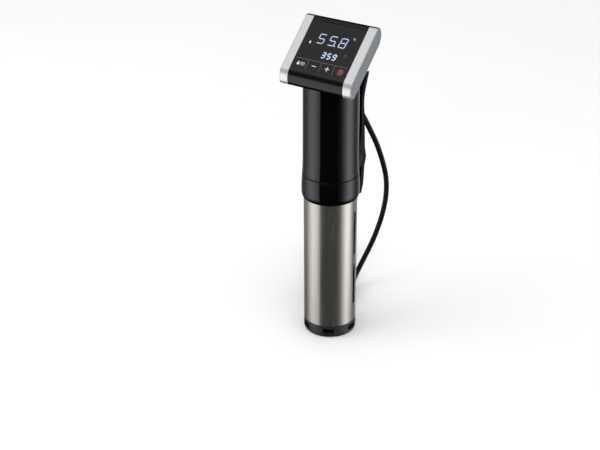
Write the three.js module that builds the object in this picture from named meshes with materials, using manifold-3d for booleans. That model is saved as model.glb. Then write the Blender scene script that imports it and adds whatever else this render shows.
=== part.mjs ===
// Sous vide circulator: a black stick with a tilted control head, a clip lever for the pot's rim,
// a removable steel sleeve over the heater and the pump, and a mains lead folded up behind it.
// Millimetres, +Z up. The origin is the middle of the flat bottom, the stick's axis is Z,
// the display faces -Y, the clip and the lead are on +Y.
import * as THREE from "three";
import { mergeVertices } from "three/addons/utils/BufferGeometryUtils.js";
import Module from "manifold-3d";

const wasm = await Module();
wasm.setup();

// ---------------------------------------------------------------- driving dimensions
const GAP = 0.3; // between pieces that touch on the real object
const ROUND = 36; // sides of a large cylinder
const SMALL = 20; // sides of a small one

const seamZ = 197.4; // where the grip ends and the collar starts
const gripR = 30.3; // at the top; it widens a little towards the collar
const gripWall = 2.6;
const collarR = 32.5;
const collarBottomZ = 169.8;
const sleeveR = 30;
const sleeveWall = 0.8;
const sleeveTopZ = 178;
const capTopZ = 14.1; // the bottom cap's rim, where the sleeve starts

const headTilt = THREE.MathUtils.degToRad(43.5);
const headFaceZ = 346; // where the head's top face crosses the stick's axis
const headHalfWidth = 45.3;
const headThickness = 16;
const noseBulge = 1.3; // how far the nose swells forward of a flat one
const headRearY = 28.8; // rear end, along the face
const noseY = -30.7; // the nose is upright, flush with the grip
const panelHalfWidth = 34.3;
const headWall = 2.2;

const pivotY = 36; // the clip's pin
const pivotZ = 200;
const leverHalfWidth = 12.5;
const leverWall = 3;
const hubHalfWidth = 9.7;

const cordR = 3.1;
const exitY = 30; // where the lead's sleeve comes out of the grip
const exitZ = 273.5;
const exitSlope = THREE.MathUtils.degToRad(38); // below the horizontal
const bootLength = 25; // outside the grip

const storeTurn = THREE.MathUtils.degToRad(33.5); // the folded lead lies this far round from +Y
const hankNear = 38; // its near end, from the axis
const hankHalfRun = 24; // between the middles of its end loops
const hankLoopR = 19.3;
const hankTopZ = 27.8;
const plugR = 18;
const plugLength = 52;
const plugTilt = THREE.MathUtils.degToRad(11); // its boot rests on the folded lead's end

// ---------------------------------------------------------------- shape helpers
const place = (x = 0, y = 0, z = 0, rx = 0, ry = 0, rz = 0) =>
  new THREE.Matrix4().compose(
    new THREE.Vector3(x, y, z),
    new THREE.Quaternion().setFromEuler(new THREE.Euler(rx, ry, rz)),
    new THREE.Vector3(1, 1, 1),
  );

// A closed geometry as a solid, with its faces turned outward.
function toSolid(geometry, matrix = place()) {
  const bare = geometry.clone().applyMatrix4(matrix);
  bare.deleteAttribute("normal");
  bare.deleteAttribute("uv");
  const merged = mergeVertices(bare, 1e-4);
  const p = merged.attributes.position.array;
  const index = merged.index.array;
  const corner = (i) => new THREE.Vector3(p[3 * i], p[3 * i + 1], p[3 * i + 2]);
  const kept = [];
  let volume = 0;
  for (let i = 0; i < index.length; i += 3) {
    const [a, b, c] = [index[i], index[i + 1], index[i + 2]];
    if (a === b || b === c || c === a) continue;
    kept.push([a, b, c]);
    volume += corner(a).dot(corner(b).cross(corner(c)));
  }
  const triangles = volume < 0 ? kept.map(([a, b, c]) => [a, c, b]) : kept;
  return new wasm.Manifold(
    new wasm.Mesh({
      numProp: 3,
      vertProperties: new Float32Array(p),
      triVerts: new Uint32Array(triangles.flat()),
    }),
  );
}

const box = (x0, x1, y0, y1, z0, z1, turned = place()) =>
  toSolid(
    new THREE.BoxGeometry(x1 - x0, y1 - y0, z1 - z0).translate(
      (x0 + x1) / 2,
      (y0 + y1) / 2,
      (z0 + z1) / 2,
    ),
    turned,
  );

// A rod along Z, from z0 to z1.
const rod = (r, z0, z1, at = place(), sides = SMALL) =>
  toSolid(
    new THREE.CylinderGeometry(r, r, z1 - z0, sides).rotateX(Math.PI / 2).translate(0, 0, (z0 + z1) / 2),
    at,
  );

// A rod along X, centred on (y, z).
const crossRod = (r, x0, x1, y, z, sides = SMALL) =>
  toSolid(
    new THREE.CylinderGeometry(r, r, x1 - x0, sides).rotateZ(Math.PI / 2),
    place((x0 + x1) / 2, y, z),
  );

// Turned about Z from [radius, height] pairs; the outline starts and ends on the axis, or closes.
function turned(outline, at = place(), sides = ROUND) {
  const points = outline.map(([r, z]) => new THREE.Vector2(r, z));
  return toSolid(new THREE.LatheGeometry(points, sides).rotateX(Math.PI / 2), at);
}

const ring = (outer, inner, z0, z1, at = place(), sides = ROUND) =>
  turned([[inner, z0], [outer, z0], [outer, z1], [inner, z1], [inner, z0]], at, sides);

// An outline in the YZ plane, drawn out along X from x0 to x1.
function slab(outline, x0, x1, at = place()) {
  const shape = new THREE.Shape(outline.map(([y, z]) => new THREE.Vector2(y, z)));
  const geometry = new THREE.ExtrudeGeometry(shape, { depth: x1 - x0, bevelEnabled: false });
  const upright = new THREE.Matrix4().makeBasis(
    new THREE.Vector3(0, 1, 0),
    new THREE.Vector3(0, 0, 1),
    new THREE.Vector3(1, 0, 0),
  );
  return toSolid(geometry, at.clone().multiply(place(x0).multiply(upright)));
}

// An outline in the XY plane, drawn up from z0 to z1.
function plate(outline, z0, z1, at = place()) {
  const shape = new THREE.Shape(outline.map(([x, y]) => new THREE.Vector2(x, y)));
  const geometry = new THREE.ExtrudeGeometry(shape, { depth: z1 - z0, bevelEnabled: false });
  return toSolid(geometry, at.clone().multiply(place(0, 0, z0)));
}

// A round bar along a curve.
function tube(curve, r, steps, sides, at = place()) {
  const section = new THREE.Shape();
  section.absarc(0, 0, r, 0, 2 * Math.PI);
  const circle = new THREE.Shape(section.getSpacedPoints(sides).slice(0, sides));
  const geometry = new THREE.ExtrudeGeometry(circle, { steps, extrudePath: curve });
  return toSolid(geometry, at);
}

const join = (...solids) => solids.reduce((a, b) => a.add(b));
const cut = (solid, ...tools) => tools.reduce((a, b) => a.subtract(b), solid);

// Points of an arc about (cx, cy), in degrees.
function arc(cx, cy, r, from, to, count = 6) {
  return Array.from({ length: count + 1 }, (_, i) => {
    const angle = THREE.MathUtils.degToRad(from + ((to - from) * i) / count);
    return [cx + r * Math.cos(angle), cy + r * Math.sin(angle)];
  });
}

// Moves each side of an anticlockwise polygon inward and returns the new corners.
function insetCorners(corners, inset) {
  const n = corners.length;
  const lines = corners.map(([x, y], i) => {
    const [u, v] = corners[(i + 1) % n];
    const length = Math.hypot(u - x, v - y);
    const [dx, dy] = [(u - x) / length, (v - y) / length];
    return { x: x - dy * inset, y: y + dx * inset, dx, dy };
  });
  return lines.map((b, i) => {
    const a = lines[(i + n - 1) % n];
    const along = ((b.x - a.x) * b.dy - (b.y - a.y) * b.dx) / (a.dx * b.dy - a.dy * b.dx);
    return [a.x + a.dx * along, a.y + a.dy * along];
  });
}

// Rounds each corner of an anticlockwise polygon by its own radius.
function roundCorners(corners, radii, count = 6) {
  const n = corners.length;
  return corners.flatMap((corner, i) => {
    const here = new THREE.Vector2(...corner);
    const back = new THREE.Vector2(...corners[(i + n - 1) % n]).sub(here).normalize();
    const on = new THREE.Vector2(...corners[(i + 1) % n]).sub(here).normalize();
    const half = Math.acos(back.dot(on)) / 2;
    const middle = back.clone().add(on).normalize().multiplyScalar(radii[i] / Math.sin(half)).add(here);
    const start = back.multiplyScalar(radii[i] / Math.tan(half)).add(here).sub(middle);
    const end = on.multiplyScalar(radii[i] / Math.tan(half)).add(here).sub(middle);
    const from = THREE.MathUtils.radToDeg(start.angle());
    const sweep = THREE.MathUtils.radToDeg(Math.atan2(start.cross(end), start.dot(end)));
    return arc(middle.x, middle.y, radii[i], from, from + sweep, count);
  });
}

// ---------------------------------------------------------------- materials and nodes
const finish = (color, roughness, metalness) => ({ color, roughness, metalness });
const GLOSS_BLACK = finish(0x0c0c0e, 0.12, 0);
const SATIN_BLACK = finish(0x17181a, 0.45, 0);
const RUBBER = finish(0x1b1b1c, 0.8, 0);
const STEEL = finish(0xb8b9bb, 0.3, 1);
const SILVER = finish(0xd4d6d8, 0.25, 1);
const BOARD = finish(0x1f5b34, 0.6, 0);
const COPPER = finish(0xa5622f, 0.4, 1);
const WHITE_PLASTIC = finish(0xd9d9d2, 0.5, 0);

const model = new THREE.Group();
const head = new THREE.Group(); // its XY plane is the head's top face, +Y towards the rear end
head.position.z = headFaceZ;
head.rotation.x = headTilt;
model.add(head);

function piece(name, solid, look, group = model) {
  const { vertProperties, triVerts } = solid.getMesh();
  const geometry = new THREE.BufferGeometry();
  geometry.setAttribute("position", new THREE.BufferAttribute(vertProperties, 3));
  geometry.setIndex(new THREE.BufferAttribute(triVerts, 1));
  const mesh = new THREE.Mesh(geometry, new THREE.MeshStandardMaterial(look));
  mesh.name = name;
  group.add(mesh);
}

const headPlace = place(0, 0, headFaceZ, headTilt);

// ---------------------------------------------------------------- head
// Side outline of the head in its own frame, anticlockwise, seen from +X.
const noseAt = (z) => (noseY + z * Math.sin(headTilt)) / Math.cos(headTilt);
const headCorners = [
  [noseAt(-headThickness), -headThickness],
  [headRearY - 7.3, -headThickness],
  [headRearY, -7],
  [headRearY, 0],
  [noseAt(0), 0],
  [noseAt(-6.4) - noseBulge * Math.cos(headTilt), -6.4 + noseBulge * Math.sin(headTilt)],
];
const headRadii = [5, 17, 9, 3.8, 14, 25];
const headOutline = (inset) =>
  roundCorners(insetCorners(headCorners, inset), headRadii.map((r) => r - inset));

const panelRearY = 21.5; // the front panel ends here and the housing's rear cap starts
const panelLipZ = -12.5; // the panel's lower edge, on the nose
const bodyOpeningR = 23; // the way from the head down into the grip
const ventPitch = 8;
const headScrewSpots = [[-29, 10.5], [29, 10.5], [-29, -42], [29, -42]];

function headSkin(x0, x1) {
  return cut(slab(headOutline(0), x0, x1), slab(headOutline(headWall), x0 - 1, x1 + 1));
}

// The room of the front panel: the top face and the nose down to its lip.
function panelRoom(gap) {
  return join(box(-60, 60, -80, -40, panelLipZ - gap, 10), box(-60, 60, -41, panelRearY + gap, -6, 10));
}

function frontPanel() {
  return headSkin(-panelHalfWidth, panelHalfWidth).intersect(panelRoom(0));
}

function headShell() {
  const skin = headSkin(-panelHalfWidth, panelHalfWidth);
  const toHead = headPlace.clone().invert();
  const opening = rod(bodyOpeningR, 285, 348.5, toHead, 36);
  const vents = [-2, -1, 0, 1, 2].map((i) =>
    box(i * ventPitch - 1.2, i * ventPitch + 1.2, 20, 40, -11, -5),
  );
  const screwHoles = headScrewSpots.map(([x, y]) => rod(3.1, -30, -12, place(x, y, 0), 16));
  return cut(skin, panelRoom(GAP), opening, ...vents, ...screwHoles);
}

// One brushed end piece: a cup that closes the head's side and wraps over its top, nose and rear.
function sideTrim(side) {
  const inner = panelHalfWidth + GAP;
  const [x0, x1] = side > 0 ? [inner, headHalfWidth] : [-headHalfWidth, -inner];
  const [c0, c1] = side > 0 ? [x0 - 1, x1 - headWall] : [x0 + headWall, x1 + 1];
  return cut(slab(headOutline(0), x0, x1), slab(headOutline(headWall), c0, c1));
}

const displayHalf = [27, 18]; // the lit window's block, across and along the face
const displayY = -4;
const keySpots = [-24, -7.2, 9.4, 26];
const keyY = -30.8;
const boardTopZ = -8.2;

function displayModule() {
  const [w, l] = displayHalf;
  const block = box(-w, w, displayY - l, displayY + l, -7.4, -2.6);
  const window = box(-w + 2, w - 2, displayY - l + 2, displayY + l - 2, -3.6, -1);
  return cut(block, window);
}

piece("front_panel", frontPanel(), GLOSS_BLACK, head);
piece("head_shell", headShell(), SATIN_BLACK, head);
piece("trim_left", sideTrim(-1), SILVER, head);
piece("trim_right", sideTrim(1), SILVER, head);
piece("display_module", displayModule(), SATIN_BLACK, head);
piece("control_board", box(-31, 31, -38, 7, boardTopZ - 1.6, boardTopZ), BOARD, head);
piece("buzzer", rod(5, boardTopZ - 4.8, boardTopZ - 1.9, place(20, 0, 0)), SATIN_BLACK, head);
keySpots.forEach((x, i) => {
  const spring = ring(3.2, 2.2, boardTopZ + GAP, -headWall - GAP, place(x, keyY, 0), 16);
  piece(`touch_spring_${i + 1}`, spring, COPPER, head);
});
headScrewSpots.forEach(([x, y], i) => {
  const screw = turned(
    [[0, -15.8], [2.7, -15.8], [2.7, -14], [1.3, -14], [1.3, -5], [0, -5]],
    place(x, y, 0),
    16,
  );
  piece(`head_screw_${i + 1}`, screw, STEEL, head);
});

// ---------------------------------------------------------------- grip
const bootPlace = place(0, exitY, exitZ, -(Math.PI / 2 + exitSlope));
const shoulder = [
  [23.6, 360], [23.6, 348.2], [26.5, 345.5], [28.6, 341.5], [29.6, 336], [31, 320], [60, 320], [60, 360],
];

// The grip's outer form, grown outward.
function gripForm(z0, z1, grow) {
  return turned([
    [0, z0], [31.6 + grow, z0], [31.3 + grow, z0 + 5.4], [31 + grow, z0 + 13.4], [30.8 + grow, z0 + 32],
    [gripR + grow, 325], [gripR + grow, z1], [0, z1],
  ]);
}

// A tube that ends under the head; behind the head it closes over in a rounded shoulder.
function bodyShell() {
  const headRoom = slab(headOutline(-GAP), -60, 60, headPlace);
  const aboveHead = box(-60, 60, -90, 90, -headThickness / 2, 60, headPlace);
  const outer = cut(gripForm(seamZ + 0.2, 359, 0), slab(shoulder, -60, 60));
  const underShoulder = slab(shoulder, -60, 60, place(0, -2, -2.4));
  const inner = cut(rod(gripR - gripWall, seamZ - 1, 365, place(), ROUND), underShoulder);
  const bootHole = rod(5.4, -12, 12, bootPlace);
  return cut(outer, inner, headRoom, aboveHead, bootHole);
}

function strainRelief() {
  const profile = [
    [0, -9], [5, -9], [5, 2], [4.7, 6], [4.2, 12], [3.8, 18], [3.6, bootLength], [0, bootLength],
  ];
  return turned(profile, bootPlace, 24);
}

piece("body_shell", bodyShell(), GLOSS_BLACK);
piece("strain_relief", strainRelief(), RUBBER);
piece("cord_clamp", box(-9, 9, 13, 21, 287, 294), SATIN_BLACK);

// ---------------------------------------------------------------- mains electronics in the grip
const mainsBoardY = -8;
const partsY = mainsBoardY + 0.8 + GAP;

function heatsink() {
  const fins = [0, 1, 2, 3].map((i) => box(4 + i * 4, 5.4 + i * 4, partsY, partsY + 10, 285, 304));
  return join(box(4, 17.4, partsY, partsY + 2, 285, 304), ...fins);
}

piece("power_board", box(-21, 21, mainsBoardY - 0.8, mainsBoardY + 0.8, 256, 306), BOARD);
piece("transformer", box(-18, 2, partsY, partsY + 16, 259, 279), WHITE_PLASTIC);
piece("capacitor", rod(5.6, 259, 279, place(11, partsY + 5.7, 0)), SATIN_BLACK);
piece("relay", box(-17, -3, partsY, partsY + 14, 286, 303), WHITE_PLASTIC);
piece("heatsink", heatsink(), SILVER);

// ---------------------------------------------------------------- motor and pump
const shaftR = 2;
const boreR = shaftR + GAP;
const bulkheadZ = 182.6;

// The sealed cup between the wet end and the grip.
function bulkhead() {
  return turned([
    [5, bulkheadZ], [27.3, bulkheadZ], [27.3, 201.2], [25.2, 201.2], [25.2, 186], [5, 186], [5, bulkheadZ],
  ]);
}

function motorMount() {
  const screws = [0, 120, 240].map((a) => arc(0, 0, 21, a, a, 1)[0]);
  return cut(ring(26.8, 5.9, 201.5, 204), ...screws.map(([x, y]) => rod(1.5, 200, 206, place(x, y, 0), 12)));
}

function motorCan() {
  return turned([[16, 204.3], [17.6, 204.3], [17.6, 238], [3.2, 238], [3.2, 236.2], [16, 236.2], [16, 204.3]]);
}

// A hub with flat blades set at a pitch.
function bladed(hubR, tipR, z0, z1, count, thick, pitch) {
  const middle = (z0 + z1) / 2;
  const blades = Array.from({ length: count }, (_, i) => {
    const blade = box(hubR - 1, tipR, -thick / 2, thick / 2, (z0 - z1) / 2, (z1 - z0) / 2);
    return blade.transform(
      place(0, 0, middle, 0, 0, (2 * Math.PI * i) / count).multiply(place(0, 0, 0, pitch)).toArray(),
    );
  });
  return cut(join(rod(hubR, z0, z1), ...blades), rod(boreR, z0 - 5, z1 + 5));
}

piece("bulkhead", bulkhead(), SATIN_BLACK);
piece("shaft_seal", ring(4.7, boreR, 182.8, 187.5, place(), SMALL), RUBBER);
piece("seal_ring", ring(27.3, 25.4, 179, bulkheadZ - GAP), RUBBER);
piece("motor_mount", motorMount(), STEEL);
piece("motor_can", motorCan(), STEEL);
piece("stator", ring(15.7, 11.4, 210, 230, place(), 36), COPPER);
piece("rotor_core", ring(11, boreR, 210, 230, place(), 24), STEEL);
piece("upper_bearing", ring(5.6, boreR, 232, 235.8, place(), SMALL), STEEL);
piece("lower_bearing", ring(5.6, boreR, 201.6, 204, place(), SMALL), STEEL);
piece("drive_shaft", rod(shaftR, 21.5, 250, place(), 16), STEEL);
piece("cooling_fan", bladed(6, 24, 241, 249, 7, 1.2, 0.5), WHITE_PLASTIC);
piece("impeller", bladed(5, 21, 22.5, 31, 5, 1.4, 0.15), SATIN_BLACK);

// ---------------------------------------------------------------- wet end
const guardZ = 34;
const rodSpots = [90, 210, 330].map((a) => arc(0, 0, 23.4, a, a, 1)[0]);

function guardPlate() {
  const holes = [30, 90, 150, 210, 270, 330].map((a) => {
    const [[x, y]] = arc(0, 0, 13.5, a, a, 1);
    return rod(4.6, 30, 40, place(x, y, 0), 16);
  });
  return cut(ring(26, 6.3, guardZ, guardZ + 2), ...holes);
}

// Coils down round the shaft, then comes back up beside it.
const coilR = 17;
const coilTubeR = 3;
const coilTurns = 4;
const coilTopZ = 150;
const coilPitch = 23;
const returnR = 8.6;

function heaterCoil() {
  const coilBottomZ = coilTopZ - coilTurns * coilPitch;
  const lead = [bulkheadZ - GAP, 172, 162].map((z) => new THREE.Vector3(coilR, 0, z));
  const perTurn = 12;
  const coil = Array.from({ length: coilTurns * perTurn + 1 }, (_, i) => {
    const angle = (2 * Math.PI * i) / perTurn;
    const z = coilTopZ - (coilPitch * i) / perTurn;
    return new THREE.Vector3(coilR * Math.cos(angle), coilR * Math.sin(angle), z);
  });
  const inward = new THREE.Vector3(12.4, 8.6, coilBottomZ - 7);
  const up = [0, 14, 50, 90].map((h) => new THREE.Vector3(returnR, 0, coilBottomZ + h));
  up.push(new THREE.Vector3(returnR, 0, bulkheadZ - GAP));
  const path = new THREE.CatmullRomCurve3([...lead, ...coil, inward, ...up], false, "centripetal");
  return tube(path, coilTubeR, 76, 7);
}

function probe(r, tipZ, angle, distance) {
  const [[x, y]] = arc(0, 0, distance, angle, angle, 1);
  return turned([[0, tipZ], [r * 0.7, tipZ + 0.4 * r], [r, tipZ + r], [r, bulkheadZ - GAP], [0, bulkheadZ - GAP]],
    place(x, y, 0), 12);
}

piece("heater_coil", heaterCoil(), STEEL);
piece("temperature_probe", probe(2, 60, 120, 8.6), STEEL);
piece("level_probe_low", probe(1.5, 66, 190, 8.6), STEEL);
piece("level_probe_high", probe(1.5, 146, 250, 8.6), STEEL);
piece("guard_plate", guardPlate(), SATIN_BLACK);
piece("lower_bush", ring(6, boreR, guardZ - 1, guardZ + 4, place(), SMALL), WHITE_PLASTIC);
rodSpots.forEach(([x, y], i) => {
  piece(`standoff_rod_${i + 1}`, rod(1.8, guardZ + 2 + GAP, bulkheadZ - GAP, place(x, y, 0), 12), STEEL);
});

// ---------------------------------------------------------------- collar, sleeve and bottom cap
const slotAngles = [9, 171]; // from +X; a little behind the widest line
const slotHalfWidth = 2.6;
const slotSpans = [[100, 155], [36, 88]];

function collarRing() {
  return turned([
    [30.4, collarBottomZ], [31, collarBottomZ], [31.8, 171.3], [32.3, 174], [collarR, 178],
    [32.4, 184], [32.1, 190], [31.6, seamZ - 0.3], [27.7, seamZ - 0.3], [27.7, 178.5], [30.4, 178.5],
    [30.4, collarBottomZ],
  ]);
}

function sleeveSlot(angle, [z0, z1]) {
  const outline = [
    ...arc(0, z1 - slotHalfWidth, slotHalfWidth, 0, 180, 6),
    ...arc(0, z0 + slotHalfWidth, slotHalfWidth, 180, 360, 6),
  ];
  return slab(outline, 20, 40, place(0, 0, 0, 0, 0, THREE.MathUtils.degToRad(angle)));
}

function steelSleeve() {
  const slots = slotAngles.flatMap((angle) => slotSpans.map((span) => sleeveSlot(angle, span)));
  return cut(ring(sleeveR, sleeveR - sleeveWall, capTopZ + GAP, sleeveTopZ), ...slots);
}

const outletCount = 6;

function bottomCap() {
  const shell = turned([
    [0, 0], [28, 0], [29.2, 0.6], [sleeveR, 2.2], [sleeveR, capTopZ], [28.8, capTopZ], [28.8, 19.5],
    [26.6, 19.5], [26.6, 3], [0, 3],
  ]);
  const outlets = [];
  for (let i = 0; i < outletCount; i += 1) {
    const turn = (2 * Math.PI * i) / outletCount;
    outlets.push(box(20, 40, -6.5, 6.5, 4.6, 11, place(0, 0, 0, 0, 0, turn)));
    outlets.push(rod(3.4, -2, 6, place(15.5 * Math.cos(turn + 0.5), 15.5 * Math.sin(turn + 0.5), 0), 16));
  }
  return cut(shell, ...outlets);
}

piece("collar_ring", collarRing(), GLOSS_BLACK);
piece("steel_sleeve", steelSleeve(), STEEL);
piece("bottom_cap", bottomCap(), SATIN_BLACK);

// ---------------------------------------------------------------- clip
const earR = 10;
const earInner = 10;
const earOuter = 12.8;
const pinR = 2;

// Two ears on the grip's back, joined by a foot above the lever's hub.
function clipBracket() {
  const foot = box(-earOuter, earOuter, 20, 33, 214, 240);
  const ear = (x0) => {
    const cheek = box(x0, x0 + earOuter - earInner, 22, 33, 196.5, 240);
    const lug = crossRod(earR, x0, x0 + earOuter - earInner, pivotY, pivotZ, 36);
    return join(cheek, lug);
  };
  const grip = gripForm(seamZ, 340, GAP);
  const collarRoom = rod(32.5, 180, seamZ + 0.3, place(), 72);
  const pinHole = crossRod(pinR + GAP, -20, 20, pivotY, pivotZ);
  return cut(join(foot, ear(-earOuter), ear(earInner)), grip, collarRoom, pinHole);
}

// The lever's rear face, from the jaw's tip to the thumb end, as [y, z].
const leverBack = new THREE.SplineCurve(
  [
    [44.5, 157], [48, 166], [49.6, 178], [50.4, 189], [53.3, 199.5], [50.9, 211], [49.7, 232],
    [48.5, 252], [47.3, 267], [48.6, 277], [52.3, 288], [56.6, 299.5],
  ].map(([y, z]) => new THREE.Vector2(y, z)),
);
const leverFront = [
  [51.6, 301], [46.6, 289], [43.2, 277], [42.2, 264], [42.9, 250], [43, 236], [41, 222],
  [38.6, 211], [38.6, 206], [40.4, 196], [43.7, 190], [43.7, 165.5], [42.6, 160.5], [40.8, 157.4],
];

function leverBackPoints(inset) {
  return Array.from({ length: 25 }, (_, i) => {
    const p = leverBack.getPointAt(i / 24);
    const t = leverBack.getTangentAt(i / 24);
    return [p.x - t.y * inset, p.y + t.x * inset];
  });
}

function clipLever() {
  const whole = slab([...leverBackPoints(0), ...leverFront], -leverHalfWidth, leverHalfWidth);
  const webInside = leverBackPoints(leverWall);
  const channelBack = webInside.filter(([, z]) => z > 214);
  const channel = slab(
    [[20, 214], [channelBack[0][0], 214], ...channelBack, [channelBack.at(-1)[0], 320], [20, 320]],
    -hubHalfWidth,
    hubHalfWidth,
  );
  const springRoom = box(-6.2, 6.2, 20, 47.4, 191.5, 216);
  const hubs = [-1, 1].map((s) => {
    const [x0, x1] = s > 0 ? [6.2, hubHalfWidth] : [-hubHalfWidth, -6.2];
    return crossRod(4.4, x0, x1, pivotY, pivotZ, 24);
  });
  const earRooms = [-1, 1].map((s) => {
    const [x0, x1] = s > 0 ? [hubHalfWidth, 20] : [-20, -hubHalfWidth];
    return crossRod(earR + 0.6, x0, x1, pivotY, pivotZ, 36);
  });
  const window = box(-6.6, 6.6, 40, 60, 247, 279);
  const pinHole = crossRod(pinR + GAP, -20, 20, pivotY, pivotZ);
  return cut(join(cut(whole, channel, springRoom), ...hubs), ...earRooms, window, pinHole);
}

// Coils round the pin; one leg presses the lever's web, the other the bracket's foot.
function clipSpring() {
  const coilR0 = 3.6;
  const turns = 3;
  const points = [new THREE.Vector3(-4.4, 46, 222), new THREE.Vector3(-4.4, 43, 211)];
  for (let i = 0; i <= turns * 10; i += 1) {
    const angle = (2 * Math.PI * i) / 10 + 0.35;
    const x = -4.2 + (8.4 * i) / (turns * 10);
    points.push(new THREE.Vector3(x, pivotY + coilR0 * Math.cos(angle), pivotZ - coilR0 * Math.sin(angle)));
  }
  points.push(new THREE.Vector3(4.4, 38.6, 208), new THREE.Vector3(4.4, 35.2, 219));
  return tube(new THREE.CatmullRomCurve3(points), 0.55, 52, 5);
}

piece("clip_bracket", clipBracket(), GLOSS_BLACK);
piece("clip_lever", clipLever(), GLOSS_BLACK);
piece("clip_pin", crossRod(pinR, -13, 13, pivotY, pivotZ), STEEL);
piece("clip_spring", clipSpring(), STEEL);
piece("lever_pad", box(-9.5, 9.5, 41.3, 43.4, 167, 187), RUBBER);

// ---------------------------------------------------------------- mains lead
const store = new THREE.Group(); // its +Y runs along the folded lead, away from the stick
store.rotation.z = storeTurn;
model.add(store);

// The hanging stretch, from the strain relief to the folded lead on the floor.
const hanging = [
  [0, 49.9, 257.9], [0, 57.5, 250.9], [0, 68.6, 237.1], [0, 77.1, 225], [0, 85.6, 212.6],
  [0, 94, 200.1], [0, 101.1, 187.8], [0, 107.3, 175.8], [0, 112.9, 163.7], [0, 117.5, 152.1],
  [-0.1, 120.7, 140.7], [-0.4, 122.3, 129], [-1.5, 122.4, 112], [-4.2, 120, 92], [-8.5, 116.4, 72],
  [-13.6, 110.4, 52], [-18.6, 102.4, 34], [-21.6, 92, 18.5], [-20.6, 80.6, 9], [-18.2, 74.6, 6.4],
];

function powerCord() {
  const path = new THREE.CatmullRomCurve3(hanging.map((p) => new THREE.Vector3(...p)));
  return tube(path, cordR, 40, 10);
}

const hankMiddle = hankNear + cordR + hankLoopR + hankHalfRun;
const hankOuterR = hankLoopR + cordR + 0.2;

function cordHank() {
  const outline = [
    ...arc(0, hankMiddle + hankHalfRun, hankOuterR, 0, 180, 12),
    ...arc(0, hankMiddle - hankHalfRun, hankOuterR, 180, 360, 12),
  ];
  return plate(outline, 1.8, hankTopZ);
}

function cordTie() {
  const half = hankOuterR + 1.6;
  const [y0, y1] = [hankMiddle - 3, hankMiddle + 3];
  const inner = hankOuterR + GAP;
  return cut(box(-half, half, y0, y1, 0, hankTopZ + 1.8), box(-inner, inner, y0 - 1, y1 + 1, 1.4, hankTopZ + GAP));
}

// The plug's own frame: +Z runs from its boot to its face, and the face's rim stands on the floor.
const plug = new THREE.Group();
const rimZ = plugLength - 2;
plug.position.y = hankMiddle + hankHalfRun + hankOuterR + 1.2;
plug.position.z = rimZ * Math.sin(plugTilt) + plugR * Math.cos(plugTilt) + 0.2;
plug.rotation.x = -(Math.PI / 2 + plugTilt);
store.add(plug);

const contactY = 15.4; // the earth contacts lie in grooves on both sides of the face

function plugBody() {
  const body = turned([
    [0, 0], [4.4, 0], [6.2, 16], [9.5, 18], [13, 21], [14.2, 30], [17.2, 37], [plugR, 41],
    [plugR, rimZ], [17, plugLength], [0, plugLength],
  ], place(), 32);
  return cut(body, box(-3, 3, contactY, 30, 40, 60), box(-3, 3, -30, -contactY, 40, 60));
}

function plugPin(x) {
  return turned([[0, 0], [2.4, 0], [2.4, 17.4], [1.2, 19], [0, 19]], place(x, 0, plugLength + GAP), 16);
}

function earthContact(side) {
  const near = side * (contactY + GAP);
  const far = side * (contactY + GAP + 1);
  return box(-2.4, 2.4, Math.min(near, far), Math.max(near, far), 40.5, 51.5);
}

piece("power_cord", powerCord(), RUBBER);
piece("cord_hank", cordHank(), RUBBER, store);
piece("cord_tie", cordTie(), SATIN_BLACK, store);
piece("plug_body", plugBody(), SATIN_BLACK, plug);
[-1, 1].forEach((side, i) => {
  piece(`plug_pin_${i + 1}`, plugPin(9.5 * side), STEEL, plug);
  piece(`earth_contact_${i + 1}`, earthContact(side), STEEL, plug);
});

export default model;
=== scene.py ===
"""Looks of a sous vide circulator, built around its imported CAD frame.

Blender works in metres in the frame of the CAD model. The shapes here are written in millimetres and
scaled when a mesh is made. +Z runs up the stick, the display faces -Y, the clip and the lead are on +Y.
"""

import math

import bmesh
import bpy
from mathutils import Matrix, Vector


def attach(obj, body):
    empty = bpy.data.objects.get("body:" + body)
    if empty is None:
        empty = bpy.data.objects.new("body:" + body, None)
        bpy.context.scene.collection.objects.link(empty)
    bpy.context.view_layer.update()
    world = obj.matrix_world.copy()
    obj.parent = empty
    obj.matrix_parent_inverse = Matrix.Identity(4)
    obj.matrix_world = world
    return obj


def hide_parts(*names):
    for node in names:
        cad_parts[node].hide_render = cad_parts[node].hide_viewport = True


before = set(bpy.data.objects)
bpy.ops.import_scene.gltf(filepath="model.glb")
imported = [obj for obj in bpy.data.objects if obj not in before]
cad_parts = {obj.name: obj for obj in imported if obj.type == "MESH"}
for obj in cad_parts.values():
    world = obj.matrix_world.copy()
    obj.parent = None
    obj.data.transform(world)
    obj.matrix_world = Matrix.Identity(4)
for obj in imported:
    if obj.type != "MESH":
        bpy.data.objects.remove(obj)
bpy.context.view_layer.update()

MM = 0.001
HERE = Matrix.Identity(4)

# ---------------------------------------------------------------- driving dimensions, in millimetres
SEAM_Z = 197.6
GRIP_FORM = [(197.4, 31.6), (202.8, 31.3), (210.8, 31.0), (229.4, 30.8), (325, 30.3), (360, 30.3)]
GRIP_WALL = 3.0

HEAD_TILT = math.radians(43.5)
HEAD_FACE_Z = 346.0
HEAD_THICKNESS = 16.0
HEAD_REAR = 28.8
NOSE_Y = -30.7
NOSE_BULGE = 1.3  # how far the nose swells forward of a flat one
HEAD_HALF_WIDTH = 45.3
PANEL_HALF_WIDTH = 34.3
PANEL_REAR = 21.5
PANEL_LIP = -12.5
HEAD_WALL = 2.2
GAP = 0.3

SLEEVE_R = 30.0
SLEEVE_WALL = 0.8
SLEEVE_TOP = 178.0
CAP_TOP = 14.1

PIVOT = (36.0, 200.0)  # the clip pin's y and z
LEVER_HALF_WIDTH = 12.5
HUB_HALF_WIDTH = 9.7
HUB_R = 4.4

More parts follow.
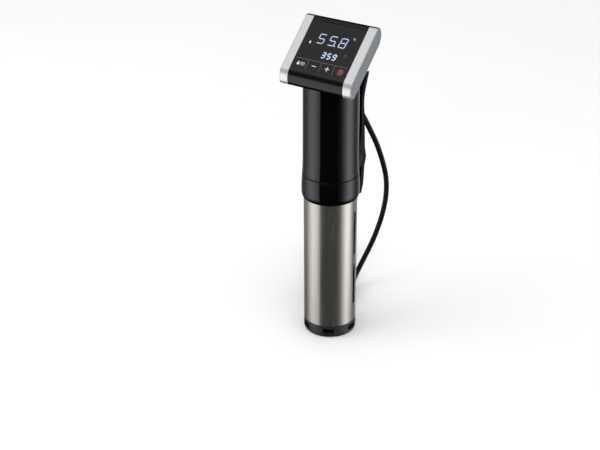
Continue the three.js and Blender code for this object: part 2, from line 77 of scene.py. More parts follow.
CORD_R = 3.1
BOOT_LENGTH = 25.0
STORE_TURN = math.radians(33.5)
LOOP_R = 19.3
NEAR_LOOP = 60.4  # middles of the folded lead's end loops, from the stick's axis
FAR_LOOP = 108.4
HANK_MIDDLE = (NEAR_LOOP + FAR_LOOP) / 2
PLUG_START = 132.2
PLUG_TILT = math.radians(11)
PLUG_LENGTH = 52.0
PLUG_R = 18.0
PLUG_Z = (PLUG_LENGTH - 2) * math.sin(PLUG_TILT) + PLUG_R * math.cos(PLUG_TILT) + 0.2


def shift(x, y, z):
    return Matrix.Translation(Vector((x, y, z)) * MM)


HEAD = shift(0, 0, HEAD_FACE_Z) @ Matrix.Rotation(HEAD_TILT, 4, "X")
BOOT = shift(0, 30, 273.5) @ Matrix.Rotation(-math.radians(90 + 38), 4, "X")
STORE = Matrix.Rotation(STORE_TURN, 4, "Z")
PLUG = STORE @ shift(0, PLUG_START, PLUG_Z) @ Matrix.Rotation(-math.pi / 2 - PLUG_TILT, 4, "X")


# ---------------------------------------------------------------- outlines and paths
def polar(r, angle):
    return r * math.cos(angle), r * math.sin(angle)


def arc(cx, cy, r, start, end, count=12):
    """Points of an arc, its angles in degrees."""
    angles = [math.radians(start + (end - start) * i / count) for i in range(count + 1)]
    return [(cx + x, cy + y) for x, y in (polar(r, angle) for angle in angles)]


def inset_corners(corners, inset):
    """The corners of an anticlockwise polygon after each side has moved inward."""
    lines = []
    for (x, y), (u, v) in zip(corners, corners[1:] + corners[:1]):
        length = math.hypot(u - x, v - y)
        dx, dy = (u - x) / length, (v - y) / length
        lines.append((x - dy * inset, y + dx * inset, dx, dy))
    found = []
    for i, (bx, by, bdx, bdy) in enumerate(lines):
        ax, ay, adx, ady = lines[i - 1]
        along = ((bx - ax) * bdy - (by - ay) * bdx) / (adx * bdy - ady * bdx)
        found.append((ax + adx * along, ay + ady * along))
    return found


def round_corners(corners, radii, count=12):
    """An anticlockwise polygon with each corner rounded by its own radius."""
    points = []
    for i, corner in enumerate(corners):
        here = Vector(corner)
        back = (Vector(corners[i - 1]) - here).normalized()
        on = (Vector(corners[(i + 1) % len(corners)]) - here).normalized()
        half = math.acos(max(-1.0, min(1.0, back.dot(on)))) / 2
        middle = here + (back + on).normalized() * (radii[i] / math.sin(half))
        start = here + back * (radii[i] / math.tan(half)) - middle
        end = here + on * (radii[i] / math.tan(half)) - middle
        first = math.degrees(math.atan2(start.y, start.x))
        sweep = math.degrees(math.atan2(start.x * end.y - start.y * end.x, start.dot(end)))
        points += arc(middle.x, middle.y, radii[i], first, first + sweep, count)
    return points


def box(x0, x1, y0, y1):
    return [(x0, y0), (x1, y0), (x1, y1), (x0, y1)]


def rounded_box(x0, x1, y0, y1, r, count=8):
    return round_corners(box(x0, x1, y0, y1), [r] * 4, count)


def width_at(form, z):
    """The radius at height z of a form given as (height, radius) pairs, upward."""
    for (z0, r0), (z1, r1) in zip(form, form[1:]):
        if z <= z1:
            return r0 + (r1 - r0) * (z - z0) / (z1 - z0)
    return form[-1][1]


def edged(inner, outer, z0, z1, edge):
    """The profile of a rod, or of a ring if inner isn't 0, with its outer edges taken off."""
    lower = [(inner, z0), (outer - edge, z0), (outer, z0 + edge)]
    return [*lower, (outer, z1 - edge), (outer - edge, z1), (inner, z1)]


def between(p, q, t0, t1, t):
    return p * ((t1 - t) / (t1 - t0)) + q * ((t - t0) / (t1 - t0))


def smooth_path(points, step):
    """Points of a curve through the given ones, about step apart, in any number of dimensions."""
    points = [Vector(p) for p in points]
    before = points[0] * 2 - points[1]
    after = points[-1] * 2 - points[-2]
    ends = [before, *points, after]
    found = []
    for a, b, c, d in zip(ends, ends[1:], ends[2:], ends[3:]):
        knots = [0.0]
        for p, q in ((a, b), (b, c), (c, d)):
            knots.append(knots[-1] + math.sqrt((q - p).length))
        t0, t1, t2, t3 = knots
        count = max(1, round((c - b).length / step))
        for i in range(count):
            t = t1 + (t2 - t1) * i / count
            ab, bc, cd = between(a, b, t0, t1, t), between(b, c, t1, t2, t), between(c, d, t2, t3, t)
            found.append(between(between(ab, bc, t0, t2, t), between(bc, cd, t1, t3, t), t1, t2, t))
    return [tuple(p) for p in [*found, points[-1]]]


def run_inside(points, inside):
    """The stretch of a closed outline where inside() is positive, with its two ends cut exactly."""
    values = [inside(*p) for p in points]
    count = len(points)
    halvings = 40

    def crossing(i, j):
        a, b = points[i], points[j]
        for _ in range(halvings):
            middle = tuple((p + q) / 2 for p, q in zip(a, b))
            if (inside(*middle) < 0) == (values[i] < 0):
                a = middle
            else:
                b = middle
        return a

    i = next(k for k in range(count) if values[k - 1] < 0 <= values[k])
    run = [crossing(i - 1, i)]
    while values[i] >= 0:
        run.append(points[i])
        i = (i + 1) % count
    return [*run, crossing(i - 1, i)]


# ---------------------------------------------------------------- meshes
def skin(rings, looped=False):
    """Points and faces of a skin over closed rings with equally many points; its ends are closed or meet."""
    n = len(rings[0])
    points = [p for ring in rings for p in ring]
    faces = []
    for k in range(len(rings) if looped else len(rings) - 1):
        a, b = k * n, (k + 1) % len(rings) * n
        faces += [(a + i, a + (i + 1) % n, b + (i + 1) % n, b + i) for i in range(n)]
    if not looped:
        faces += [tuple(range(n)), tuple(range(len(points) - n, len(points)))]
    return points, faces


def solid(name, shape, at=HERE):
    """A new object from points in millimetres and faces, turned outward, with doubled points joined."""
    points, faces = shape
    mesh = bpy.data.meshes.new(name)
    mesh.from_pydata([Vector(p) * MM for p in points], [], faces)
    work = bmesh.new()
    work.from_mesh(mesh)
    bmesh.ops.remove_doubles(work, verts=work.verts, dist=1e-6)
    bmesh.ops.recalc_face_normals(work, faces=work.faces)
    work.to_mesh(mesh)
    work.free()
    obj = bpy.data.objects.new(name, mesh)
    obj.matrix_world = at
    bpy.context.scene.collection.objects.link(obj)
    return obj


def turned(profile, steps=96):
    """A profile of (radius, height) turned about Z. It ends on the axis if it starts there, or closes."""
    angles = [2 * math.pi * i / steps for i in range(steps)]
    rings = [[(*polar(r, angle), z) for angle in angles] for r, z in profile]
    return skin(rings, looped=profile[0][0] > 0)


def drawn(outline, x0, x1):
    """An outline in the YZ plane, drawn out along X."""
    return skin([[(x, y, z) for y, z in outline] for x in (x0, x1)])


def raised(outline, z0, z1):
    """An outline in the XY plane, drawn up along Z."""
    return skin([[(x, y, z) for x, y in outline] for z in (z0, z1)])


def rod(r, z0, z1, steps=48):
    return raised(arc(0, 0, r, 0, 360 - 360 / steps, steps - 1), z0, z1)


def cross_rod(r, x0, x1, steps=48):
    """A rod along X on the clip's pin."""
    return drawn(arc(*PIVOT, r, 0, 360 - 360 / steps, steps - 1), x0, x1)


def block(x0, x1, y0, y1, z0, z1):
    return raised(box(x0, x1, y0, y1), z0, z1)


def row_point(at, p):
    """Where a point of the frame at is in the row frame, both in millimetres."""
    return tuple(at @ (Vector(p) * MM) / MM)


def placed(shape, at):
    """A shape of the frame at, in the row frame."""
    points, faces = shape
    return [row_point(at, p) for p in points], faces


def spun(shape, degrees):
    points, faces = shape
    turn = Matrix.Rotation(math.radians(degrees), 3, "Z")
    return [tuple(turn @ Vector(p)) for p in points], faces


def moved(shape, x, y):
    points, faces = shape
    return [(px + x, py + y, pz) for px, py, pz in points], faces


def tube(path, r, sides=16):
    """A round bar along points, with its section carried along without twist."""
    points = [Vector(p) for p in path]
    rings, normal = [], None
    for i, p in enumerate(points):
        along = (points[min(i + 1, len(points) - 1)] - points[max(i - 1, 0)]).normalized()
        if normal is None:
            normal = along.orthogonal().normalized()
        normal = (normal - along * normal.dot(along)).normalized()
        other = along.cross(normal)
        turns = [2 * math.pi * k / sides for k in range(sides)]
        rings.append([tuple(p + normal * (r * math.cos(t)) + other * (r * math.sin(t))) for t in turns])
    return skin(rings)


def settle(obj):
    """Makes obj's modifiers part of its mesh."""
    bpy.context.view_layer.update()
    made = bpy.data.meshes.new_from_object(obj.evaluated_get(bpy.context.evaluated_depsgraph_get()))
    obj.modifiers.clear()
    obj.data = made


def combine(obj, operation, shapes):
    """Joins shapes to obj or cuts them from it. A shape is points and faces, in obj's own space."""
    tools = [solid("tool", shape, obj.matrix_world) for shape in shapes]
    for tool in tools:
        modifier = obj.modifiers.new("boolean", "BOOLEAN")
        modifier.operation, modifier.solver, modifier.object = operation, "EXACT", tool
    settle(obj)
    for tool in tools:
        bpy.data.objects.remove(tool)


def cut(obj, *shapes):
    combine(obj, "DIFFERENCE", shapes)


def join(obj, *shapes):
    combine(obj, "UNION", shapes)


def soften(obj, width, segments=3, angle=32):
    """Rounds the sharp edges, as a moulded or pressed part's are."""
    modifier = obj.modifiers.new("bevel", "BEVEL")
    modifier.width, modifier.segments = width * MM, segments
    modifier.limit_method, modifier.angle_limit = "ANGLE", math.radians(angle)
    modifier.miter_outer = "MITER_ARC"
    settle(obj)


def show(obj, finish, *nodes, body="housing", sharp=40):
    """Shades the piece smoothly, gives it its material, ties it to its body and hides the CAD nodes that it
    stands for.
    """
    obj.data.shade_smooth()
    obj.data.set_sharp_from_angle(angle=math.radians(sharp))
    weighted = obj.modifiers.new("normals", "WEIGHTED_NORMAL")
    weighted.keep_sharp = True
    settle(obj)
    obj.data.materials.clear()
    obj.data.materials.append(finish.material)
    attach(obj, body)
    if nodes:
        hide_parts(*nodes)
    return obj


# ---------------------------------------------------------------- materials
class Nodes:
    """A node tree, with short ways to add to it."""

    def __init__(self, owner):
        owner.use_nodes = True
        self.tree = owner.node_tree

    def node(self, kind, inputs, **settings):
        made = self.tree.nodes.new(kind)
        for name, value in settings.items():
            setattr(made, name, value)
        for name, value in inputs.items():
            if isinstance(value, bpy.types.NodeSocket):
                self.tree.links.new(value, made.inputs[name])
            else:
                made.inputs[name].default_value = value
        return made

    def maths(self, operation, *values):
        return self.node("ShaderNodeMath", dict(enumerate(values)), operation=operation).outputs["Value"]

    def fold(self, operation, values):
        total, *others = values
        for value in others:
            total = self.maths(operation, total, value)
        return total

    def times(self, *values):
        return self.fold("MULTIPLY", values)

    def plus(self, *values):
        return self.fold("ADD", values)

    def spread(self, pattern, low, high, start=0.3, end=0.7):
        """The pattern's values from start to end, mapped smoothly to low to high."""
        inputs = {"Value": pattern, "From Min": start, "From Max": end, "To Min": low, "To Max": high}
        return self.node("ShaderNodeMapRange", inputs, interpolation_type="SMOOTHSTEP").outputs["Result"]

    def step(self, value, start, end):
        """0 below start and 1 above end, or the other way round if start is above end."""
        low, high = (0.0, 1.0) if start < end else (1.0, 0.0)
        return self.spread(value, low, high, min(start, end), max(start, end))


class Finish(Nodes):
    """A Principled material whose patterns lie in the piece's own coordinates, in metres."""

    def __init__(self, name, slot, colour, roughness, metallic=0.0, **constants):
        self.material = bpy.data.materials.new(name)
        super().__init__(self.material)
        self.slot = slot
        self.shader = self.tree.nodes["Principled BSDF"]
        constants = {"Base_Color": (*colour, 1), "Roughness": roughness, "Metallic": metallic, **constants}
        for socket, value in constants.items():
            self.shader.inputs[socket.replace("_", " ")].default_value = value
        self.place = self.node("ShaderNodeTexCoord", {}).outputs["Object"]
        self.axes = self.node("ShaderNodeSeparateXYZ", {"Vector": self.place}).outputs
        self.normal = None

    def noise(self, scale, detail=3.0):
        """A noise pattern with scale features per metre, one number or one for each direction."""
        scales = scale if isinstance(scale, tuple) else (scale,) * 3
        mapped = self.node("ShaderNodeMapping", {"Vector": self.place, "Scale": scales})
        inputs = {"Vector": mapped.outputs["Vector"], "Scale": 1.0, "Detail": detail}
        return self.node("ShaderNodeTexNoise", inputs).outputs["Fac"]

    def mixed(self, share, first, second, blend="MIX"):
        """Two colours mixed; a colour is three numbers or a socket."""
        first, second = ((*c, 1) if isinstance(c, tuple) else c for c in (first, second))
        inputs = {0: share, 6: first, 7: second}
        return self.node("ShaderNodeMix", inputs, data_type="RGBA", blend_type=blend).outputs[2]

    def scaled(self, colour, share):
        inputs = {"Vector": colour, "Scale": share}
        return self.node("ShaderNodeVectorMath", inputs, operation="SCALE").outputs[0]

    def link(self, value, socket):
        self.tree.links.new(value, self.shader.inputs[socket])

    def vary_roughness(self, pattern, low, high):
        self.link(self.spread(pattern, low, high), "Roughness")

    def vary_colour(self, pattern, dark, light):
        self.link(self.mixed(self.spread(pattern, 0, 1), dark, light), "Base Color")

    def bump(self, pattern, depth):
        """Adds a relief of the given depth in millimetres."""
        inputs = {"Height": pattern, "Distance": depth * MM, "Strength": 1.0}
        if self.normal is not None:
            inputs["Normal"] = self.normal
        self.normal = self.node("ShaderNodeBump", inputs).outputs["Normal"]
        self.link(self.normal, "Normal")


def gloss_black(name="gloss_black_abs", shine=0.5):
    """Polished black ABS with a trace of orange peel and wiped-over haze."""
    finish = Finish(name, "gloss_black", (0.0012, 0.0012, 0.0014), 0.07, IOR=1.52,
                    Specular_IOR_Level=shine, Specular_Tint=(0.90, 0.95, 1.0, 1.0))
    finish.vary_roughness(finish.noise(45), 0.045, 0.10)
    finish.vary_colour(finish.noise(25), (0.0008, 0.0008, 0.0010), (0.0016, 0.0016, 0.0020))
    finish.bump(finish.noise(260, 1.0), 0.006)
    return finish


def satin_black(name="satin_black_plastic", slot="satin_black"):
    """Fine spark-eroded black plastic."""
    finish = Finish(name, slot, (0.014, 0.014, 0.015), 0.42)
    finish.vary_roughness(finish.noise(180), 0.34, 0.50)
    finish.vary_colour(finish.noise(60), (0.011, 0.011, 0.012), (0.019, 0.019, 0.021))
    finish.bump(finish.noise(2600, 2.0), 0.03)
    return finish


def soft_rubber(name, slot, colour, roughness, shine=0.5):
    """Matt black rubber or PVC with a light bloom."""
    finish = Finish(name, slot, colour, roughness, Specular_IOR_Level=shine)
    lighter = tuple(c * 1.7 + 0.002 for c in colour)
    finish.vary_colour(finish.noise(90), colour, lighter)
    finish.vary_roughness(finish.noise(240), roughness - 0.06, roughness + 0.08)
    finish.bump(finish.noise(1500, 2.0), 0.02)
    return finish


def brushed(name, slot, colours, roughness, along, metallic=1.0):
    """Metal brushed along one axis of the piece."""
    finish = Finish(name, slot, colours[0], roughness[0], metallic)
    fine = tuple(20 if axis == along else 3200 for axis in "XYZ")
    broad = tuple(9 if axis == along else 420 for axis in "XYZ")
    streaks = finish.noise(fine, 4.0)
    bands = finish.noise(broad)
    finish.vary_colour(finish.plus(finish.times(streaks, 0.5), finish.times(bands, 0.5)), *colours)
    finish.vary_roughness(bands, *roughness)
    finish.bump(streaks, 0.02)
    return finish


def brushed_trim():
    """Brushed aluminium; painted shade makes the flat end faces darker and bluer, and a painted dark
    reflection makes the rear edge black.
    """
    tones = ((0.64, 0.65, 0.66), (0.76, 0.77, 0.78))
    finish = brushed("brushed_trim", "trim_silver", tones, (0.30, 0.38), "Y", metallic=0.7)
    out = finish.maths("ABSOLUTE", finish.axes["X"])
    # painted shade: the flat end faces are darkened and blued in the colour, for the duller light they catch
    end_face_shade = finish.step(out, (HEAD_HALF_WIDTH - 0.7) * MM, (HEAD_HALF_WIDTH - 0.05) * MM)
    # painted reflection: the rear edge is darkened nearly to black, for the dark room the bent metal would
    # mirror
    rear = finish.step(finish.axes["Y"], (HEAD_REAR - 3.2) * MM, (HEAD_REAR - 2.4) * MM)
    rear = finish.times(rear, finish.maths("SUBTRACT", 1.0, end_face_shade))
    colour = finish.shader.inputs["Base Color"].links[0].from_socket
    for share, shade in ((end_face_shade, (0.44, 0.455, 0.48)), (rear, (0.08, 0.08, 0.09))):
        colour = finish.mixed(share, colour, shade, "MULTIPLY")
    finish.link(colour, "Base Color")
    return finish


def plain_metal(name, slot, dark, light, roughness):
    """Turned or drawn metal with faint handling marks."""
    finish = Finish(name, slot, light, roughness, 1.0)
    finish.vary_colour(finish.noise(140, 4.0), dark, light)
    finish.vary_roughness(finish.noise(320, 4.0), roughness * 0.7, roughness * 1.35)
    finish.bump(finish.noise((2200, 2200, 300), 2.0), 0.006)
    return finish


def circuit_board():
    """Green solder mask with pale track patterns under it."""
    finish = Finish("solder_mask", "circuit_board", (0.012, 0.09, 0.035), 0.35)
    finish.vary_colour(finish.noise((900, 260, 900), 1.0), (0.010, 0.07, 0.028), (0.030, 0.15, 0.06))
    finish.bump(finish.noise((900, 260, 900), 1.0), 0.03)
    return finish


def natural_nylon():
    finish = Finish("natural_nylon", "white_plastic", (0.62, 0.61, 0.55), 0.45)
    finish.vary_colour(finish.noise(120), (0.56, 0.55, 0.48), (0.70, 0.69, 0.63))
    finish.bump(finish.noise(1200), 0.02)
    return finish


def light_spot(finish, x, y, half_x, half_y, blur):
    """How much a soft rectangle of light shows at a point of the panel, from 0 to 1. Millimetres."""
    shares = []
    for axis, centre, half in (("X", x, half_x), ("Y", y, half_y)):
        off = finish.maths("ABSOLUTE", finish.maths("SUBTRACT", finish.axes[axis], centre * MM))
        shares.append(finish.step(off, (half + blur) * MM, half * MM))
    return finish.times(*shares)


def key_halo(finish, x, y):
    """A soft disc of light round a key's sign, dimmer in its middle, from 0 to 1. Millimetres."""
    squares = []
    for axis, centre in (("X", x), ("Y", y)):
        off = finish.maths("SUBTRACT", finish.axes[axis], centre * MM)
        squares.append(finish.times(off, off))
    distance = finish.maths("SQRT", finish.plus(*squares))
    disc = finish.step(distance, 5.3 * MM, 3.9 * MM)
    return finish.times(disc, finish.spread(distance, 0.25, 1.0, 0.5 * MM, 3.0 * MM))


def smoked_panel():
    """Black smoked acrylic; the lamps behind it leave a faint blue haze and a red one at the power key."""
    finish = Finish("smoked_panel", "panel_black", (0.003, 0.003, 0.003), 0.12, IOR=1.49,
                    Specular_IOR_Level=0.36, Emission_Strength=1.0)
    finish.vary_roughness(finish.noise(40), 0.10, 0.16)
    finish.bump(finish.noise(200, 1.0), 0.003)
    spots = [light_spot(finish, x, BIG_DIGIT_Y, 2.2, 3.6, 4.4) for x in BIG_DIGITS]
    spots += [light_spot(finish, x, SMALL_DIGIT_Y, 1.0, 2.2, 3.4) for x in SMALL_DIGITS]
    blue = finish.scaled((0.003, 0.004, 0.034), finish.fold("MAXIMUM", spots))
    red = finish.scaled((0.060, 0.003, 0.005), key_halo(finish, KEYS[3], KEY_Y))
    both = finish.node("ShaderNodeVectorMath", {0: blue, 1: red}, operation="ADD")
    finish.link(both.outputs[0], "Emission Color")
    return finish


def lamp(name, slot, colour, strength):
    """A lit segment, or a printed mark given a painted glow, a little uneven from end to end."""
    finish = Finish(name, slot, (0.02, 0.02, 0.02), 0.3, Emission_Strength=strength)
    dimmer = tuple(c * 0.8 for c in colour)
    uneven = finish.mixed(finish.spread(finish.noise(700), 0, 1), dimmer, colour)
    finish.link(uneven, "Emission Color")
    return finish


# ---------------------------------------------------------------- camera, light and floor
def place_camera():
    """The photograph's viewing angle. The camera looks at the stick's axis, from a little to its side."""
    azimuth, elevation, roll = (math.radians(degrees) for degrees in (35.124, 27.317, -0.389))
    distance, look_z, aside, lens = 1357.27, 130.92, -34.19, 72.18
    back = Vector((
        math.sin(azimuth) * math.cos(elevation),
        -math.cos(azimuth) * math.cos(elevation),
        math.sin(elevation),
    ))
    level = Vector((math.cos(azimuth), math.sin(azimuth), 0))
    upright = back.cross(level)
    right = level * math.cos(roll) + upright * math.sin(roll)
    up = upright * math.cos(roll) - level * math.sin(roll)
    camera = bpy.data.objects.new("camera", bpy.data.cameras.new("camera"))
    bpy.context.scene.collection.objects.link(camera)
    turn = Matrix((right, up, back)).transposed().to_4x4()
    spot = (Vector((0, 0, look_z)) + back * distance + right * aside) * MM
    camera.matrix_world = Matrix.Translation(spot) @ turn
    camera.data.lens, camera.data.sensor_width = lens, 36.0
    camera.data.clip_start, camera.data.clip_end = 0.05, 100.0
    bpy.context.scene.camera = camera


class Sky(Nodes):
    """The studio as the world's shader. Directions are azimuths from -Y towards +X, in degrees."""

    def __init__(self):
        world = bpy.data.worlds.new("studio")
        bpy.context.scene.world = world
        super().__init__(world)
        self.background = self.tree.nodes["Background"]
        coordinates = self.node("ShaderNodeTexCoord", {}).outputs["Generated"]
        x, y, self.height = self.node("ShaderNodeSeparateXYZ", {0: coordinates}).outputs
        self.azimuth = self.maths("ARCTAN2", x, self.times(y, -1.0))

    def away(self, centre):
        """How far a direction's azimuth is from centre, in radians, with its sign."""
        off = self.maths("SUBTRACT", self.azimuth, math.radians(centre))
        return self.maths("WRAP", off, math.pi, -math.pi)

    def screen(self, centre, width, strength):
        """A soft upright reflector."""
        share = self.maths("DIVIDE", self.away(centre), math.radians(width))
        return self.times(self.maths("EXPONENT", self.times(share, share, -1.0)), strength)

    def edge(self, screen, at, blur):
        """The screen cut off at an azimuth: it is lit above it, or below it if blur is negative."""
        full = math.radians(abs(blur))
        ends = (0.0, full) if blur > 0 else (full, 0.0)
        return self.times(screen, self.step(self.away(at), *ends))

    def within(self, part, start, end):
        """The part faded out below or above a height."""
        return self.times(part, self.step(self.height, start, end))


def mirrored_studio(sky):
    """What shiny surfaces see: a dark studio with soft screens and a pale ceiling."""
    left = sky.edge(sky.screen(-42, 33, 1.75), -11.5, -2.0)
    right = sky.edge(sky.screen(113, 24, 2.2), 58, 3)
    sides = sky.plus(right, sky.screen(178, 20, 0.15), sky.screen(-150, 40, 0.5))
    walls = sky.plus(sky.within(sides, 0.35, 0.05), sky.within(left, 0.10, -0.14))
    ceiling = sky.plus(sky.screen(-20, 55, 1.3), sky.screen(75, 35, 0.5))
    ceiling = sky.within(sky.within(ceiling, 0.45, 0.72), 1.0, 0.86)
    glow = sky.within(sky.screen(-40, 60, 0.10), -0.3, 0.0)
    darkest = 0.006
    return sky.plus(sky.within(walls, -0.68, -0.44), ceiling, glow, darkest)


def light_studio():
    """White all round for the floor and the matt surfaces, and the studio for what shines."""
    sky = Sky()
    glossy = sky.node("ShaderNodeLightPath", {}).outputs["Is Glossy Ray"]
    strength = sky.plus(sky.times(mirrored_studio(sky), glossy), sky.maths("SUBTRACT", 1.0, glossy))
    sky.background.inputs["Color"].default_value = (1, 1, 1, 1)
    sky.tree.links.new(strength, sky.background.inputs["Strength"])
    middle = Vector((0, 0, 0.15))
    for name, spot, size, power in (
        ("key", (-0.9, -0.9, 1.5), 1.1, 9.0),
        ("fill", (1.2, -0.4, 1.3), 1.2, 4.0),
    ):
        data = bpy.data.lights.new(name, "AREA")
        data.size, data.energy = size, power
        lamp_object = bpy.data.objects.new(name, data)
        lamp_object.location = spot
        lamp_object.rotation_mode = "QUATERNION"
        lamp_object.rotation_quaternion = (middle - Vector(spot)).to_track_quat("-Z", "Y")
        lamp_object.visible_glossy = False
        bpy.context.scene.collection.objects.link(lamp_object)


def lay_floor():
    finish = Finish("pale_floor", None, (0.90, 0.90, 0.90), 0.7)
    finish.vary_colour(finish.noise(3), (0.895, 0.895, 0.895), (0.91, 0.91, 0.91))
    half, level = 20000.0, -0.1
    mesh = bpy.data.meshes.new("floor")
    corners = [Vector((x, y, level)) * MM for x, y in box(-half, half, -half, half)]
    mesh.from_pydata(corners, [], [(0, 1, 2, 3)])
    floor = bpy.data.objects.new("floor", mesh)
    bpy.context.scene.collection.objects.link(floor)
    mesh.materials.append(finish.material)
    floor.visible_glossy = False


# ---------------------------------------------------------------- mains lead
# The hanging stretch, from the strain relief to the folded lead on the floor.
HANGING = [
    (0, 49.9, 257.9), (0, 57.5, 250.9), (0, 68.6, 237.1), (0, 77.1, 225), (0, 85.6, 212.6),
    (0, 94, 200.1), (0, 101.1, 187.8), (0, 107.3, 175.8), (0, 112.9, 163.7), (0, 117.5, 152.1),
    (-0.1, 120.7, 140.7), (-0.4, 122.3, 129), (-1.5, 122.4, 112), (-4.2, 120, 92), (-8.5, 116.4, 72),
    (-13.6, 110.4, 52), (-18.6, 102.4, 34), (-21.6, 92, 18.5), (-20.6, 80.6, 9), (-18.2, 74.6, 6.4),
]
HANK_TURNS = 3
RUN = FAR_LOOP - NEAR_LOOP
TURN_LENGTH = 2 * RUN + 2 * math.pi * LOOP_R
PINCH = 5.6  # how far the tie pulls each run in
TIE_LIFT = 1.4  # the strap passes under the runs
CLIMB_FROM = 0.68  # the share of a turn after which the lead climbs onto the next layer


def hank_point(s):
    """The folded lead's point s millimetres along its turns: across, along and up in the store's frame."""
    turn, on = divmod(s, TURN_LENGTH)
    half_loop = math.pi * LOOP_R
    if on < half_loop:
        angle = on / LOOP_R
        across, along = LOOP_R * math.cos(angle), NEAR_LOOP - LOOP_R * math.sin(angle)
    elif on < half_loop + RUN:
        across, along = -LOOP_R, NEAR_LOOP + on - half_loop
    elif on < 2 * half_loop + RUN:
        angle = (on - half_loop - RUN) / LOOP_R
        across, along = -LOOP_R * math.cos(angle), FAR_LOOP + LOOP_R * math.sin(angle)
    else:
        across, along = LOOP_R, FAR_LOOP - (on - 2 * half_loop - RUN)
    near_tie = max(0.0, 1 - abs(along - HANK_MIDDLE) / (RUN / 2))
    across -= math.copysign(PINCH * (1 - math.cos(math.pi * near_tie)) / 2, across)
    climb = min(1.0, max(0.0, (on / TURN_LENGTH - CLIMB_FROM) / (1 - CLIMB_FROM)))
    level = turn + climb * climb * (3 - 2 * climb)
    lift_reach = 11
    lift = TIE_LIFT * math.exp(-(((along - HANK_MIDDLE) / lift_reach) ** 2))
    return across, along, CORD_R + 2 * CORD_R * level + lift


def lead_route():
    """The lead's centreline in the row frame, in millimetres."""
    inside_boot, inside_plug = 5, 4
    points = [row_point(BOOT, (0, 0, BOOT_LENGTH - inside_boot)), *HANGING]
    folded = [(23.7, 65.0, 4.3), (21.0, 57.5, 3.4)]
    first = LOOP_R * math.radians(32)
    last = HANK_TURNS * TURN_LENGTH + math.pi * LOOP_R + RUN * 0.45
    spacing = 7.0
    count = round((last - first) / spacing)
    folded += [hank_point(first + (last - first) * i / count) for i in range(count + 1)]
    folded += [(-9.8, 96.5, 23.6), (-4.8, 110.0, 24.6), (-1.3, 122.0, 26.6), (0, PLUG_START - 1, PLUG_Z)]
    folded.append((0, PLUG_START + inside_plug, PLUG_Z - inside_plug * math.sin(PLUG_TILT)))
    turn = STORE.to_3x3()
    points += [tuple(turn @ Vector(p)) for p in folded]
    return smooth_path(points, 1.8)


def make_lead(finish):
    route = lead_route()
    data = bpy.data.curves.new("mains_lead", "CURVE")
    data.dimensions = "3D"
    data.bevel_depth, data.bevel_resolution = CORD_R * MM, 6
    data.use_fill_caps = True
    spline = data.splines.new("POLY")
    spline.points.add(len(route) - 1)
    for point, place in zip(spline.points, route):
        point.co = (*(Vector(place) * MM), 1.0)
    spline.use_smooth = True
    lead = bpy.data.objects.new("mains_lead", data)
    bpy.context.scene.collection.objects.link(lead)
    data.materials.append(finish.material)
    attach(lead, "housing")
    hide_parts("power_cord", "cord_hank")


def strap_ring(inset, offset):
    """The strap's section, seen along the folded lead, offset from its middle."""
    across, low, high = 17.9 - inset, 0.05 + inset, 27.9 - inset
    outline = rounded_box(-across, across, low, high, 4.6 - inset)
    return [(x, HANK_MIDDLE + offset, z) for x, z in outline]


def make_tie(finish):
    """A hook-and-loop strap round the folded lead, with its tail lapped over the top."""
    half, thick = 3.8, 1.15
    edge = 0.25
    near = [(thick, -half), (edge, -half), (0, -half + edge)]
    rings = [strap_ring(*at) for at in (*near, (0, half - edge), (edge, half), (thick, half))]
    tie = solid("hank_strap", skin(rings, looped=True), STORE)
    tail = [(-15.2, 27.3), (9, 27.3), (9.6, 27.9), (9, 28.9), (-13.5, 28.9), (-15.2, 28.2)]
    join(tie, skin([[(x, HANK_MIDDLE + s * half, z) for x, z in tail] for s in (-1, 1)]))
    soften(tie, 0.25, 2)
    return show(tie, finish, "cord_tie")


def make_boot(finish):
    """The strain relief: a tapered sleeve with ring grooves that let it bend."""
    profile = [(0, -9), (4.9, -9), (5, -8.8), (5, 1.2)]
    profile += [(5.8, 1.5), (6.1, 2.0), (6.1, 3.0), (5.7, 3.6), (4.9, 4.0)]
    start, pitch = 5.2, 3.3
    for i in range(6):
        z = start + i * pitch
        r = 4.85 - 0.062 * (z - 2)
        profile += [(r, z), (r - 0.05, z + 1.5)]
        profile += [(r - 0.75, z + 1.8), (r - 0.85, z + 2.7), (r - 0.15, z + 3.0)]
    profile += [(3.65, BOOT_LENGTH - 0.5), (3.5, BOOT_LENGTH), (0, BOOT_LENGTH)]
    boot = solid("cord_boot", turned(profile, 48), BOOT)
    return show(boot, finish, "strain_relief", sharp=50)


# The plug's outline: a bending sleeve, a waist for the fingers and a round face.
PLUG_FORM = [(0, 4.4), (8, 5.4), (15.5, 6.3), (18.2, 9.6), (21.5, 12.6), (28, 13.6), (34, 15.6),
             (39, 17.6), (42, 18), (50.4, 18), (51.6, 17.6), (52, 17)]


